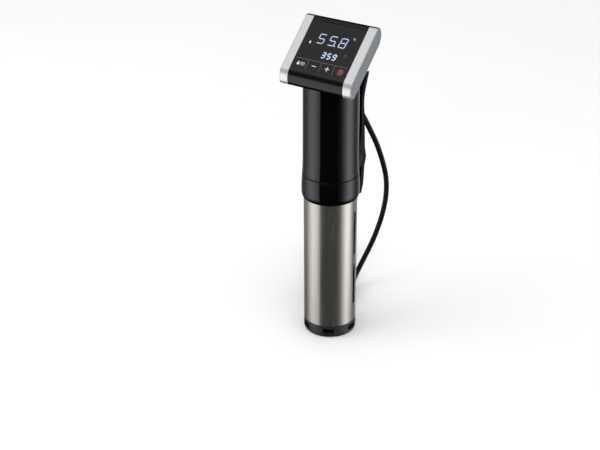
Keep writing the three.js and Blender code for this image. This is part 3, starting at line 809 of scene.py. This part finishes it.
def make_plug(shell, metal):
    """A two-pole earthed mains plug, moulded on, with finger ribs and side earth contacts."""
    heights = [i * 0.5 for i in range(int(PLUG_LENGTH * 2) + 1)]
    steps, rib_count, rings = 120, 20, []
    for z in heights:
        groove = 0.75 if z < 15 and (z % 3.4) > 2.2 else 0.0
        ribs = 0.38 * math.exp(-(((z - 28) / 6.5) ** 4))
        ring = []
        for i in range(steps):
            angle = 2 * math.pi * i / steps
            r = width_at(PLUG_FORM, z) - groove + ribs * math.cos(rib_count * angle)
            ring.append((*polar(r, angle), z))
        rings.append(ring)
    plug = solid("plug_shell", skin(rings), PLUG)
    contact_y = 15.4
    cut(plug, *(block(-3, 3, *sorted((side * contact_y, side * 30)), 40, 60) for side in (-1, 1)))
    soften(plug, 0.25, 2, 50)
    made = [show(plug, shell, "plug_body", sharp=50)]
    foot, r, pin_length = PLUG_LENGTH + 0.3, 2.4, 19
    tip = foot + pin_length
    for number, side in enumerate((-1, 1), 1):
        profile = [(0, foot), (r, foot), (r, tip - 2.4), (r - 0.3, tip - 1.1), (r - 1, tip - 0.2), (0, tip)]
        pin = solid(f"plug_blade_{number}", turned(profile, 40), PLUG @ shift(9.5 * side, 0, 0))
        made.append(show(pin, metal, f"plug_pin_{number}"))
        bow = [(15.75, 40.6), (16.0, 43), (16.3, 46), (16.0, 49), (15.75, 51.4)]
        strip = [(side * y, z) for y, z in smooth_path(bow, 0.6)]
        strip += [(side * (y + 0.75), z) for y, z in reversed(smooth_path(bow, 0.6))]
        contact = solid(f"plug_earth_{number}", drawn(strip, -2.3, 2.3), PLUG)
        soften(contact, 0.15, 2)
        made.append(show(contact, metal, f"earth_contact_{number}"))
    return made


# ---------------------------------------------------------------- head
def nose_at(z):
    return (NOSE_Y + z * math.sin(HEAD_TILT)) / math.cos(HEAD_TILT)


# The head's side in its own frame, whose Y runs up along the face and Z out of it. It starts under the nose.
HEAD_CORNERS = [
    (nose_at(-HEAD_THICKNESS), -HEAD_THICKNESS), (HEAD_REAR - 7.3, -HEAD_THICKNESS), (HEAD_REAR, -7),
    (HEAD_REAR, 0), (nose_at(0), 0),
    (nose_at(-6.4) - NOSE_BULGE * math.cos(HEAD_TILT), -6.4 + NOSE_BULGE * math.sin(HEAD_TILT)),
]
HEAD_RADII = [5, 17, 9, 3.8, 14, 25]
HEAD_SCREWS = [(-29, 10.5), (29, 10.5), (-29, -42), (29, -42)]


def head_outline(inset=0.0):
    return round_corners(inset_corners(HEAD_CORNERS, inset), [r - inset for r in HEAD_RADII], 18)


def over_panel(y, z, gap=0.0):
    """Positive where the front panel is: on the top face and down the nose to its lip."""
    lip = PANEL_LIP if y < -40 else -6.0
    return min(PANEL_REAR + gap - y, z - lip + gap)


def head_strip(inside):
    """A stretch of the head's skin as a closed section."""
    outer = run_inside(head_outline(), inside)
    inner = run_inside(head_outline(HEAD_WALL), inside)
    return outer + inner[::-1]


def make_panel(finish):
    section = head_strip(over_panel)
    panel = solid("display_cover", drawn(section, -PANEL_HALF_WIDTH, PANEL_HALF_WIDTH), HEAD)
    soften(panel, 0.3, 3, 40)
    show(panel, finish, "front_panel")


def make_head_shell(finish):
    section = head_strip(lambda y, z: -over_panel(y, z, GAP))
    shell = solid("head_back", drawn(section, -PANEL_HALF_WIDTH, PANEL_HALF_WIDTH), HEAD)
    vents = [drawn(rounded_box(19, 40, -10.8, -5.2, 1.0), x - 1.2, x + 1.2) for x in range(-16, 17, 8)]
    cut(shell, *vents)
    for x, y in HEAD_SCREWS:
        cut(shell, raised(arc(x, y, 3.1, 0, 350, 35), -30, -12))
    soften(shell, 0.3, 2, 40)
    show(shell, finish, "head_shell")


def make_trim(side, name, finish):
    """An end piece bent from brushed metal: it closes the head's side and wraps round its edge."""
    x0, x1, round_r, lip = PANEL_HALF_WIDTH + GAP, HEAD_HALF_WIDTH, 1.1, 0.25
    steps = [(x1 - HEAD_WALL, HEAD_WALL), (x0, HEAD_WALL), (x0, lip), (x0 + 0.07, 0.07), (x0 + lip, 0)]
    steps += [(x0 + 4, 0), (x1 - round_r - 0.4, 0)]
    for degrees in range(0, 91, 15):
        angle = math.radians(degrees)
        steps.append((x1 - round_r + round_r * math.sin(angle), round_r - round_r * math.cos(angle)))
    rings = [[(side * x, y, z) for y, z in head_outline(inset)] for x, inset in steps]
    show(solid(name, skin(rings), HEAD), finish, name.replace("_cap", ""))


def make_head_screws(finish):
    for number, (x, y) in enumerate(HEAD_SCREWS, 1):
        profile = [(0, -15.6), (1.6, -15.6), (2.5, -15.2), (2.7, -14.6), (2.7, -14)]
        profile += [(1.3, -14), (1.3, -5), (0, -5)]
        screw = solid(f"head_fixing_{number}", turned(profile, 40), HEAD @ shift(x, y, 0))
        cut(screw, *(block(-a, a, -b, b, -17, -14.7) for a, b in ((1.6, 0.32), (0.32, 1.6))))
        show(screw, finish, f"head_screw_{number}")


# ---------------------------------------------------------------- display, in the head's frame
BIG_DIGITS = (-12.8, 0.9, 14.1)
BIG_DIGIT_Y = 1.6
SMALL_DIGITS = (-1.9, 4.7, 11.3)
SMALL_DIGIT_Y = -16.2
KEYS = (-24.0, -7.2, 9.4, 26.0)
KEY_Y = -30.8
LINE_Y = -24.8
POINT_X = 5.6
SEGMENTS = {"3": "abcdg", "5": "acdfg", "8": "abcdefg", "9": "abcdfg"}
LIFT = 0.03  # the lit marks stand this far off the panel
MARK = 0.05  # and are this thick


def bar(x0, y0, x1, y1, thick):
    """The six-sided outline of one segment of a digit."""
    along = Vector((x1 - x0, y1 - y0)).normalized()
    side = Vector((-along.y, along.x)) * (thick / 2)
    a, b = Vector((x0, y0)), Vector((x1, y1))
    tip = along * (thick / 2)
    return [tuple(p) for p in (a, a + tip - side, b - tip - side, b, b - tip + side, a + tip + side)]


def digit(value, x, y, width, height, thick):
    """The segments of one seven-segment digit, leaning slightly."""
    w, h, lean, shrink = width / 2 - thick / 2, height / 2 - thick / 2, 0.12, 0.94
    ends = {
        "a": (-w, h, w, h), "b": (w, h, w, 0), "c": (w, 0, w, -h), "d": (-w, -h, w, -h),
        "e": (-w, -h, -w, 0), "f": (-w, 0, -w, h), "g": (-w, 0, w, 0),
    }
    bars = []
    for name in SEGMENTS[value]:
        outline = bar(*ends[name], thick)
        mx, my = (sum(axis) / len(outline) for axis in zip(*outline))
        outline = [(mx + (px - mx) * shrink, my + (py - my) * shrink) for px, py in outline]
        bars.append([(x + px + py * lean, y + py) for px, py in outline])
    return bars


def marks(name, outlines, finish):
    """Flat lit or printed marks on the panel, as one piece."""
    points, faces = [], []
    for outline in outlines:
        made, sides = raised(outline, LIFT, LIFT + MARK)
        faces += [tuple(i + len(points) for i in side) for side in sides]
        points += made
    show(solid(name, (points, faces), HEAD), finish)


def ring_outline(x, y, r, width, start, end, count=24):
    """Part of a flat ring, as one outline."""
    return arc(x, y, r, start, end, count) + arc(x, y, r - width, end, start, count)


def drop_outline(x, y, size):
    """A water drop with its point up."""
    return arc(x, y, size * 0.5, 150, 390, 14) + [(x, y + size)]


def number_marks(number, places, y, width, height, thick):
    return [mark for value, x in zip(number, places) for mark in digit(value, x, y, width, height, thick)]


def line_marks():
    """The line over the keys, those between them, and the timer's faint clock."""
    half = 0.13
    lines = [box(-32.4, 32.6, LINE_Y - half, LINE_Y + half)]
    lines += [box(x - half, x + half, LINE_Y - 11.5, LINE_Y - 0.5) for x in (-16.0, 0.6, 17.1)]
    return [*lines, ring_outline(23.4, -12.4, 1.7, 0.2, 0, 352)]


def plus_outline(x, y, reach, half):
    corner = [(-reach, -half), (-half, -half), (-half, -reach)]
    quarters = [(1, 0), (0, 1), (-1, 0), (0, -1)]
    return [(x + px * c - py * s, y + px * s + py * c) for c, s in quarters for px, py in corner]


def symbol_marks():
    """Water drop and degree sign beside the numbers; mode, minus and plus on the keys."""
    mode, minus, plus = KEYS[:3]
    slash = [(-0.9, -2.0), (-0.4, -2.0), (0.9, 2.2), (0.4, 2.2)]
    hands = [(2.95, -0.2), (4.2, -0.2), (4.2, 0.1), (3.25, 0.1), (3.25, 1.2), (2.95, 1.2)]
    slash, hands = ([(mode + px, KEY_Y + py) for px, py in outline] for outline in (slash, hands))
    return [
        drop_outline(-24.6, -5.0, 2.3),
        ring_outline(23.6, 9.3, 0.55, 0.26, 0, 345, 14),
        ring_outline(25.5, 8.3, 1.1, 0.4, 50, 310, 16),
        box(minus - 2.7, minus + 2.7, KEY_Y - 0.4, KEY_Y + 0.4),
        plus_outline(plus, KEY_Y, 2.6, 0.42),
        drop_outline(mode - 3.0, KEY_Y - 0.5, 3.0),
        slash,
        ring_outline(mode + 3.1, KEY_Y, 1.9, 0.45, 0, 350),
        hands,
    ]


def make_display(bright, dim, red):
    point = arc(POINT_X, BIG_DIGIT_Y - 5.3, 0.75, 0, 345, 23)
    temperature = number_marks("558", BIG_DIGITS, BIG_DIGIT_Y, 8.3, 11.8, 0.95)
    marks("temperature_digits", [*temperature, point], bright)
    marks("timer_digits", number_marks("359", SMALL_DIGITS, SMALL_DIGIT_Y, 5.0, 7.5, 1.35), bright)
    marks("panel_lines", line_marks(), dim)
    marks("panel_symbols", symbol_marks(), bright)
    power, half = KEYS[3], 0.35
    stroke = box(power - half, power + half, KEY_Y - 1.1, KEY_Y + 1.9)
    marks("power_symbol", [ring_outline(power, KEY_Y, 2.7, 0.55, 0, 354), stroke], red)


# ---------------------------------------------------------------- grip and collar
HEAD_GAP = 0.1
SHOULDER_Z = 326.0  # where the grip's back starts to round over towards the head
SHOULDER_Y = 30.8
SHOULDER_RISE = 30.0


def under_head(y):
    """The height just under the head, whose underside curves up at the rear and at the nose."""
    corner, above = Vector(HEAD_CORNERS[0]), Vector(HEAD_CORNERS[-1])
    half = (above - corner).angle(Vector((1, 0))) / 2
    nose_r, rear_r = HEAD_RADII[:2]
    nose = corner + Vector((nose_r / math.tan(half), nose_r))
    rear = (HEAD_REAR - 15.4, rear_r - HEAD_THICKNESS)
    for (y0, z0), r, side in ((rear, rear_r + HEAD_GAP, 1), (nose, nose_r + HEAD_GAP, -1)):
        middle_y = y0 * math.cos(HEAD_TILT) - z0 * math.sin(HEAD_TILT)
        middle_z = HEAD_FACE_Z + y0 * math.sin(HEAD_TILT) + z0 * math.cos(HEAD_TILT)
        off = y - middle_y
        if side * off > side * r * math.sin(HEAD_TILT):
            return middle_z - math.sqrt(max(0.0, r * r - off * off))
    return HEAD_FACE_Z + y * math.tan(HEAD_TILT) - (HEAD_THICKNESS + HEAD_GAP) / math.cos(HEAD_TILT)


def grip_point(angle, z, inset):
    """A point of the grip's wall; behind the head it rounds over into a shoulder."""
    r = width_at(GRIP_FORM, z) - inset
    x, y = r * math.sin(angle), r * math.cos(angle)
    if z > SHOULDER_Z:
        limit = SHOULDER_Y * math.sqrt(max(0.0, 1 - ((z - SHOULDER_Z) / SHOULDER_RISE) ** 3)) - inset
    else:
        limit = SHOULDER_Y + (SHOULDER_Z - z) * 0.5 - inset
    soft = 0.9
    lower = min(y, limit)
    y = lower - soft * math.log(math.exp((lower - y) / soft) + math.exp((lower - limit) / soft))
    return x, y, z


def grip_top(angle, inset):
    """The height at which the wall meets the head."""
    low, high, halvings = 280.0, 352.0, 40
    for _ in range(halvings):
        middle = (low + high) / 2
        if middle < under_head(grip_point(angle, middle, inset)[1]):
            low = middle
        else:
            high = middle
    return low


def make_grip(finish):
    steps, rows, edge = 144, 70, 0.5
    angles = [2 * math.pi * i / steps for i in range(steps)]
    rings = []
    for i in range(5):
        turn = math.radians(90 * i / 4)
        z, inset = SEAM_Z + edge * (1 - math.sin(turn)), edge * (1 - math.cos(turn))
        rings.insert(0, [grip_point(a, z, inset) for a in angles])
    for wall, order in ((0.0, 1), (GRIP_WALL, -1)):
        tops = [grip_top(a, wall) for a in angles]
        bottom = SEAM_Z + (edge if wall == 0 else 0)
        wanted = [[grip_point(a, bottom + (top - bottom) * k / rows, wall) for a, top in zip(angles, tops)]
                  for k in range(1 if wall == 0 else 0, rows + 1, 1 if wall == 0 else 7)]
        rings += wanted[::order]
    grip = solid("grip_shell", skin(rings, looped=True))
    cut(grip, placed(rod(5.4, -12, 12), BOOT))
    show(grip, finish, "body_shell")


def make_collar(finish):
    outside = smooth_path([(30.9, 169.82), (31.75, 171.2), (32.3, 174), (32.5, 178), (32.42, 184),
                           (32.1, 190), (31.65, 196.7)], 0.8)
    profile = [(30.4, 170.0), (30.5, 169.82), *outside, (31.45, 197.0), (31.2, 197.1), (27.7, 197.1),
               (27.7, 178.5), (30.4, 178.5)]
    show(solid("lock_collar", turned(profile, 144)), finish, "collar_ring", body="collar")


# ---------------------------------------------------------------- sleeve and bottom cap
def slot_tool(angle, z0, z1, half=2.6):
    """A long hole with round ends through the sleeve's wall."""
    outline = arc(0, z1 - half, half, 0, 180, 16) + arc(0, z0 + half, half, 180, 360, 16)
    return spun(drawn(outline, 20, 40), angle)


def make_sleeve(finish):
    outer, inner, low = SLEEVE_R, SLEEVE_R - SLEEVE_WALL, CAP_TOP + GAP
    side = [(outer, low + 0.3 + (SLEEVE_TOP - low - 0.6) * i / 24) for i in range(25)]
    profile = [(inner, low + 0.3), (inner + 0.3, low), (outer - 0.3, low), *side,
               (outer - 0.3, SLEEVE_TOP), (inner + 0.3, SLEEVE_TOP), (inner, SLEEVE_TOP - 0.3)]
    sleeve = solid("sleeve_tube", turned(profile, 160))
    cut(sleeve, *(slot_tool(angle, *span) for angle in (9, 171) for span in ((100, 155), (36, 88))))
    soften(sleeve, 0.12, 2, 60)
    show(sleeve, finish, "steel_sleeve", body="sleeve")


def make_cap(finish):
    """The cap under the pump: water goes in through its floor and out through its side windows."""
    profile = [(0, 0), (27.4, 0), (28.5, 0.3), (29.5, 1.1), (30, 2.4), (30, 13.7), (29.7, CAP_TOP),
               (28.8, CAP_TOP), (28.8, 19.1), (28.5, 19.5), (26.9, 19.5), (26.6, 19.2), (26.6, 3), (0, 3)]
    cap = solid("intake_cap", turned(profile, 144))
    for turn in range(0, 360, 60):
        window = drawn(rounded_box(-6.5, 6.5, 4.6, 11, 1.6), 20, 40)
        hole = moved(rod(3.4, -2, 6), *polar(15.5, math.radians(turn) + 0.5))
        cut(cap, spun(window, turn), hole)
    soften(cap, 0.3, 2, 50)
    show(cap, finish, "bottom_cap", body="sleeve")


# ---------------------------------------------------------------- clip
LEVER_BACK = [
    (44.5, 157), (48, 166), (49.6, 178), (50.4, 189), (53.3, 199.5), (50.9, 211), (49.7, 232),
    (48.5, 252), (47.3, 267), (48.6, 277), (52.3, 288), (56.6, 299.5),
]
LEVER_FRONT = [
    (51.6, 301), (46.6, 289), (43.2, 277), (42.2, 264), (42.9, 250), (43, 236), (41, 222), (38.6, 211),
    (38.6, 206), (40.4, 196), (43.7, 190), (43.7, 184), (43.7, 171), (43.7, 165.5), (42.6, 160.5),
    (40.8, 157.4),
]
LEVER_WALL = 3.0


def lever_back(inset):
    """The lever's rear face, moved in by inset."""
    path = smooth_path(LEVER_BACK, 1.6)
    found = []
    for i, p in enumerate(path):
        a, b = path[max(i - 1, 0)], path[min(i + 1, len(path) - 1)]
        along = (Vector(b) - Vector(a)).normalized()
        found.append((p[0] - along.y * inset, p[1] + along.x * inset))
    return found


def make_lever(finish):
    """A hollow moulded lever: a jaw below its pin and a long thumb plate above."""
    section = lever_back(0) + smooth_path(LEVER_FRONT, 1.6)
    lever = solid("clip_lever_shell", drawn(section, -LEVER_HALF_WIDTH, LEVER_HALF_WIDTH))
    web = [p for p in lever_back(LEVER_WALL) if p[1] > 214]
    channel = [(20, 214), (web[0][0], 214), *web, (web[-1][0], 320), (20, 320)]
    hub = HUB_HALF_WIDTH
    cut(lever, drawn(channel, -hub, hub), block(-6.2, 6.2, 20, 47.4, 191.5, 216))
    join(lever, cross_rod(HUB_R, 6.2, hub), cross_rod(HUB_R, -hub, -6.2))
    window = [[(x, y, z) for x, z in rounded_box(-6.6, 6.6, 247, 279, 3.2)] for y in (38, 62)]
    cut(lever, cross_rod(10.6, hub, 20, 72), cross_rod(10.6, -20, -hub, 72), skin(window))
    cut(lever, cross_rod(2.3, -20, 20))
    soften(lever, 0.55, 3, 40)
    show(lever, finish, "clip_lever", body="lever")


def make_bracket(finish):
    """Two ears on the grip's back, joined by a foot."""
    inner, outer = 10.0, 12.8
    bracket = solid("clip_foot", block(-outer, outer, 20, 33, 214, 240))
    for x0 in (-outer, inner):
        x1 = x0 + outer - inner
        join(bracket, drawn(box(22, 33, 196.5, 240), x0, x1), cross_rod(10, x0, x1, 72))
    grip = turned([(0, 197), *((r + 0.15, z) for z, r in GRIP_FORM), (0, 360)], 144)
    cut(bracket, grip, rod(32.6, 180, SEAM_Z + 0.1, 144), cross_rod(2.3, -20, 20))
    soften(bracket, 0.5, 3, 40)
    show(bracket, finish, "clip_bracket")


def make_pin(finish):
    half = 13.0
    at = shift(0, *PIVOT) @ Matrix.Rotation(math.pi / 2, 4, "Y")
    pin = solid("clip_axle", turned(edged(0, 2.0, -half, half, 0.5), 40), at)
    show(pin, finish, "clip_pin")


def make_spring(finish):
    """A torsion spring on the pin, with a leg behind the lever's web and one on the bracket's foot."""
    coil_r, turns, per_turn = 3.6, 3, 24
    points = [(-4.4, 42.2, 221), (-4.4, 41.2, 211)]
    for i in range(turns * per_turn + 1):
        angle = 2 * math.pi * i / per_turn + 0.35
        x = -4.2 + 8.4 * i / (turns * per_turn)
        points.append((x, PIVOT[0] + coil_r * math.cos(angle), PIVOT[1] - coil_r * math.sin(angle)))
    points += [(4.4, 38.6, 208), (4.4, 35.2, 219)]
    spring = solid("torsion_spring", tube(smooth_path(points, 0.8), 0.55, 12))
    show(spring, finish, "clip_spring")


def make_pad(finish):
    """The jaw's rubber pad, ribbed across where it meets the pot."""
    low, high, pitch, depth, steps = 167, 187, 3.2, 0.3, 72
    heights = [low + 0.4 + (high - low - 0.8) * i / steps for i in range(steps + 1)]
    front = [(41.62 - depth * math.cos(2 * math.pi * (z - low) / pitch), z) for z in heights]
    section = [(43.4, low), (43.4, high), (41.7, high), *front[::-1], (41.7, low)]
    pad = solid("jaw_rubber", drawn(section, -9.5, 9.5))
    soften(pad, 0.3, 2, 60)
    show(pad, finish, "lever_pad", body="lever")


# ---------------------------------------------------------------- pump and heater
BULKHEAD_Z = 182.6
INNER_RING_R = 8.6  # the heater's rising leg and the probes stand this far from the shaft


def make_bulkhead(finish):
    profile = [(5, BULKHEAD_Z), (26.9, BULKHEAD_Z), (27.3, 183), (27.3, 200.8), (26.9, 201.2),
               (25.5, 201.2), (25.2, 200.9), (25.2, 186), (5, 186)]
    show(solid("wet_bulkhead", turned(profile, 120)), finish, "bulkhead")


def make_heater(finish, nut_finish):
    """A tube heater that coils down round the shaft and comes back up beside it."""
    coil_r, turns, top, pitch, per_turn = 17.0, 4, 150.0, 23.0, 12
    bottom = top - turns * pitch
    path = [(coil_r, 0, z) for z in (BULKHEAD_Z, 172, 162)]
    for i in range(turns * per_turn + 1):
        path.append((*polar(coil_r, 2 * math.pi * i / per_turn), top - pitch * i / per_turn))
    path.append((12.4, 8.6, bottom - 7))
    path += [(INNER_RING_R, 0, z) for z in (bottom, bottom + 14, bottom + 50, bottom + 90, BULKHEAD_Z)]
    heater = solid("heater_tube", tube(smooth_path(path, 1.8), 3.0, 24))
    show(heater, finish, "heater_coil")
    profile = [(3.0, 178.3), (4.1, 178.3), (4.6, 178.9), (4.6, 181.6), (4.1, 182.2), (3.0, 182.2)]
    for number, x in enumerate((coil_r, INNER_RING_R), 1):
        nut = solid(f"heater_nut_{number}", turned(profile, 6), shift(x, 0, 0))
        soften(nut, 0.2, 2, 25)
        show(nut, nut_finish)


def make_probe(node, name, r, tip, angle, finish):
    turns = [math.radians(a) for a in range(0, 91, 15)]
    dome = [(r * math.sin(turn), tip + r * (1 - math.cos(turn))) for turn in turns]
    place = shift(*polar(INNER_RING_R, math.radians(angle)), 0)
    profile = [*dome, (r, BULKHEAD_Z - 3.5), (r + 1.3, BULKHEAD_Z - 3.2), (r + 1.3, BULKHEAD_Z - 0.2),
               (0, BULKHEAD_Z - 0.2)]
    show(solid(name, turned(profile, 32), place), finish, node)


def make_guard(finish):
    """The plate above the impeller, with round water holes and a bearing bush in its middle."""
    guard = solid("pump_guard", turned(edged(6.3, 26, 34, 36, 0.3), 96))
    angles = [math.radians(a) for a in range(30, 360, 60)]
    cut(guard, *(moved(rod(4.6, 30, 40, 36), *polar(13.5, angle)) for angle in angles))
    soften(guard, 0.2, 2, 50)
    show(guard, finish, "guard_plate")


def make_standoffs(finish):
    low, high = 36.3, BULKHEAD_Z - 0.3
    profile = [(0, low), (1.6, low), (1.8, low + 0.3), (1.8, high - 5), (2.6, high - 4.6)]
    profile += [(2.6, high), (0, high)]
    for number, angle in enumerate((90, 210, 330), 1):
        place = shift(*polar(23.4, math.radians(angle)), 0)
        post = solid(f"standoff_post_{number}", turned(profile, 32), place)
        show(post, finish, f"standoff_rod_{number}")


def make_shaft(finish):
    shaft = solid("pump_shaft", turned(edged(0, 2, 21.5, 250, 0.4), 40))
    show(shaft, finish, "drive_shaft", body="rotor")


def make_impeller(finish):
    """Five swept blades on a hub."""
    impeller = solid("pump_impeller", turned(edged(2.3, 5, 22.5, 31, 0.4), 60))
    blades = []
    for i in range(5):
        spine = [(4.2 + 16.4 * k / 10, math.radians(72 * i - 34 * (k / 10) ** 1.2)) for k in range(11)]
        outline = [(r * math.cos(a) - s * 0.7 * math.sin(a), r * math.sin(a) + s * 0.7 * math.cos(a))
                   for s, path in ((-1, spine), (1, spine[::-1])) for r, a in path]
        blades.append(raised(outline, 22.8, 30.7))
    join(impeller, *blades)
    soften(impeller, 0.25, 2, 50)
    show(impeller, finish, "impeller", body="rotor")


# ---------------------------------------------------------------- everything together
def dress(finish, *nodes):
    """Gives CAD nodes that are hidden inside their material."""
    for name in nodes:
        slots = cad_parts[name].data.materials
        slots.clear()
        slots.append(finish.material)


def build():
    place_camera()
    rubber = soft_rubber("matt_rubber", "rubber", (0.010, 0.010, 0.010), 0.62)
    sheath = soft_rubber("pvc_sheath", "rubber", (0.004, 0.004, 0.004), 0.42, 0.2)
    satin = satin_black()
    nickel = plain_metal("nickel_plate", "nickel", (0.62, 0.60, 0.56), (0.74, 0.72, 0.68), 0.16)
    boot = make_boot(sheath)
    tie = make_tie(soft_rubber("strap_fabric", "satin_black", (0.012, 0.012, 0.013), 0.8))
    plug = make_plug(sheath, nickel)
    make_lead(sheath)

    gloss = gloss_black()
    steel = plain_metal("plain_steel", "steel", (0.42, 0.42, 0.43), (0.58, 0.58, 0.58), 0.26)
    silver = brushed_trim()
    tones = ((0.39, 0.38, 0.34), (0.56, 0.545, 0.495))
    drawn_steel = brushed("drawn_steel", "sleeve_steel", tones, (0.18, 0.28), "Z", metallic=0.93)
    nylon = natural_nylon()
    board = circuit_board()
    copper = plain_metal("copper", "copper", (0.55, 0.26, 0.13), (0.78, 0.42, 0.24), 0.35)

    make_panel(smoked_panel())
    make_head_shell(gloss_black("head_back_abs", 0.3))
    make_trim(-1, "trim_left_cap", silver)
    make_trim(1, "trim_right_cap", silver)
    make_head_screws(steel)
    make_display(
        lamp("white_lamp", "panel_black", (0.74, 0.83, 1.0), 1.0),
        # painted glow: the printed grey lines emit light, standing in for how bright they look when lit
        lamp("printed_grey_glow", "panel_black", (0.50, 0.50, 0.51), 0.42),
        lamp("red_lamp", "panel_black", (0.52, 0.19, 0.20), 0.85),
    )
    make_grip(gloss)
    make_collar(gloss)
    make_sleeve(drawn_steel)
    make_cap(satin)
    make_lever(gloss_black("lever_abs", 0.22))
    make_bracket(gloss)
    make_pin(steel)
    make_spring(steel)
    make_pad(rubber)
    make_bulkhead(satin)
    make_heater(steel, plain_metal("brass_nut", "nickel", (0.60, 0.44, 0.18), (0.76, 0.58, 0.28), 0.3))
    make_probe("temperature_probe", "probe_temperature", 2.0, 60, 120, steel)
    make_probe("level_probe_low", "probe_low", 1.5, 66, 190, steel)
    make_probe("level_probe_high", "probe_high", 1.5, 146, 250, steel)
    make_guard(satin)
    make_standoffs(steel)
    make_shaft(steel)
    make_impeller(satin)

    dress(satin, "display_module", "buzzer", "cord_clamp", "capacitor")
    dress(rubber, "shaft_seal", "seal_ring")
    dress(board, "control_board", "power_board")
    dress(copper, "stator", *(f"touch_spring_{i}" for i in range(1, 5)))
    dress(nylon, "transformer", "relay", "cooling_fan", "lower_bush")
    dress(steel, "heatsink", "motor_mount", "motor_can", "rotor_core", "upper_bearing", "lower_bearing")

    light_studio()
    lay_floor()
    bpy.context.scene.view_settings.view_transform = "Standard"


build()
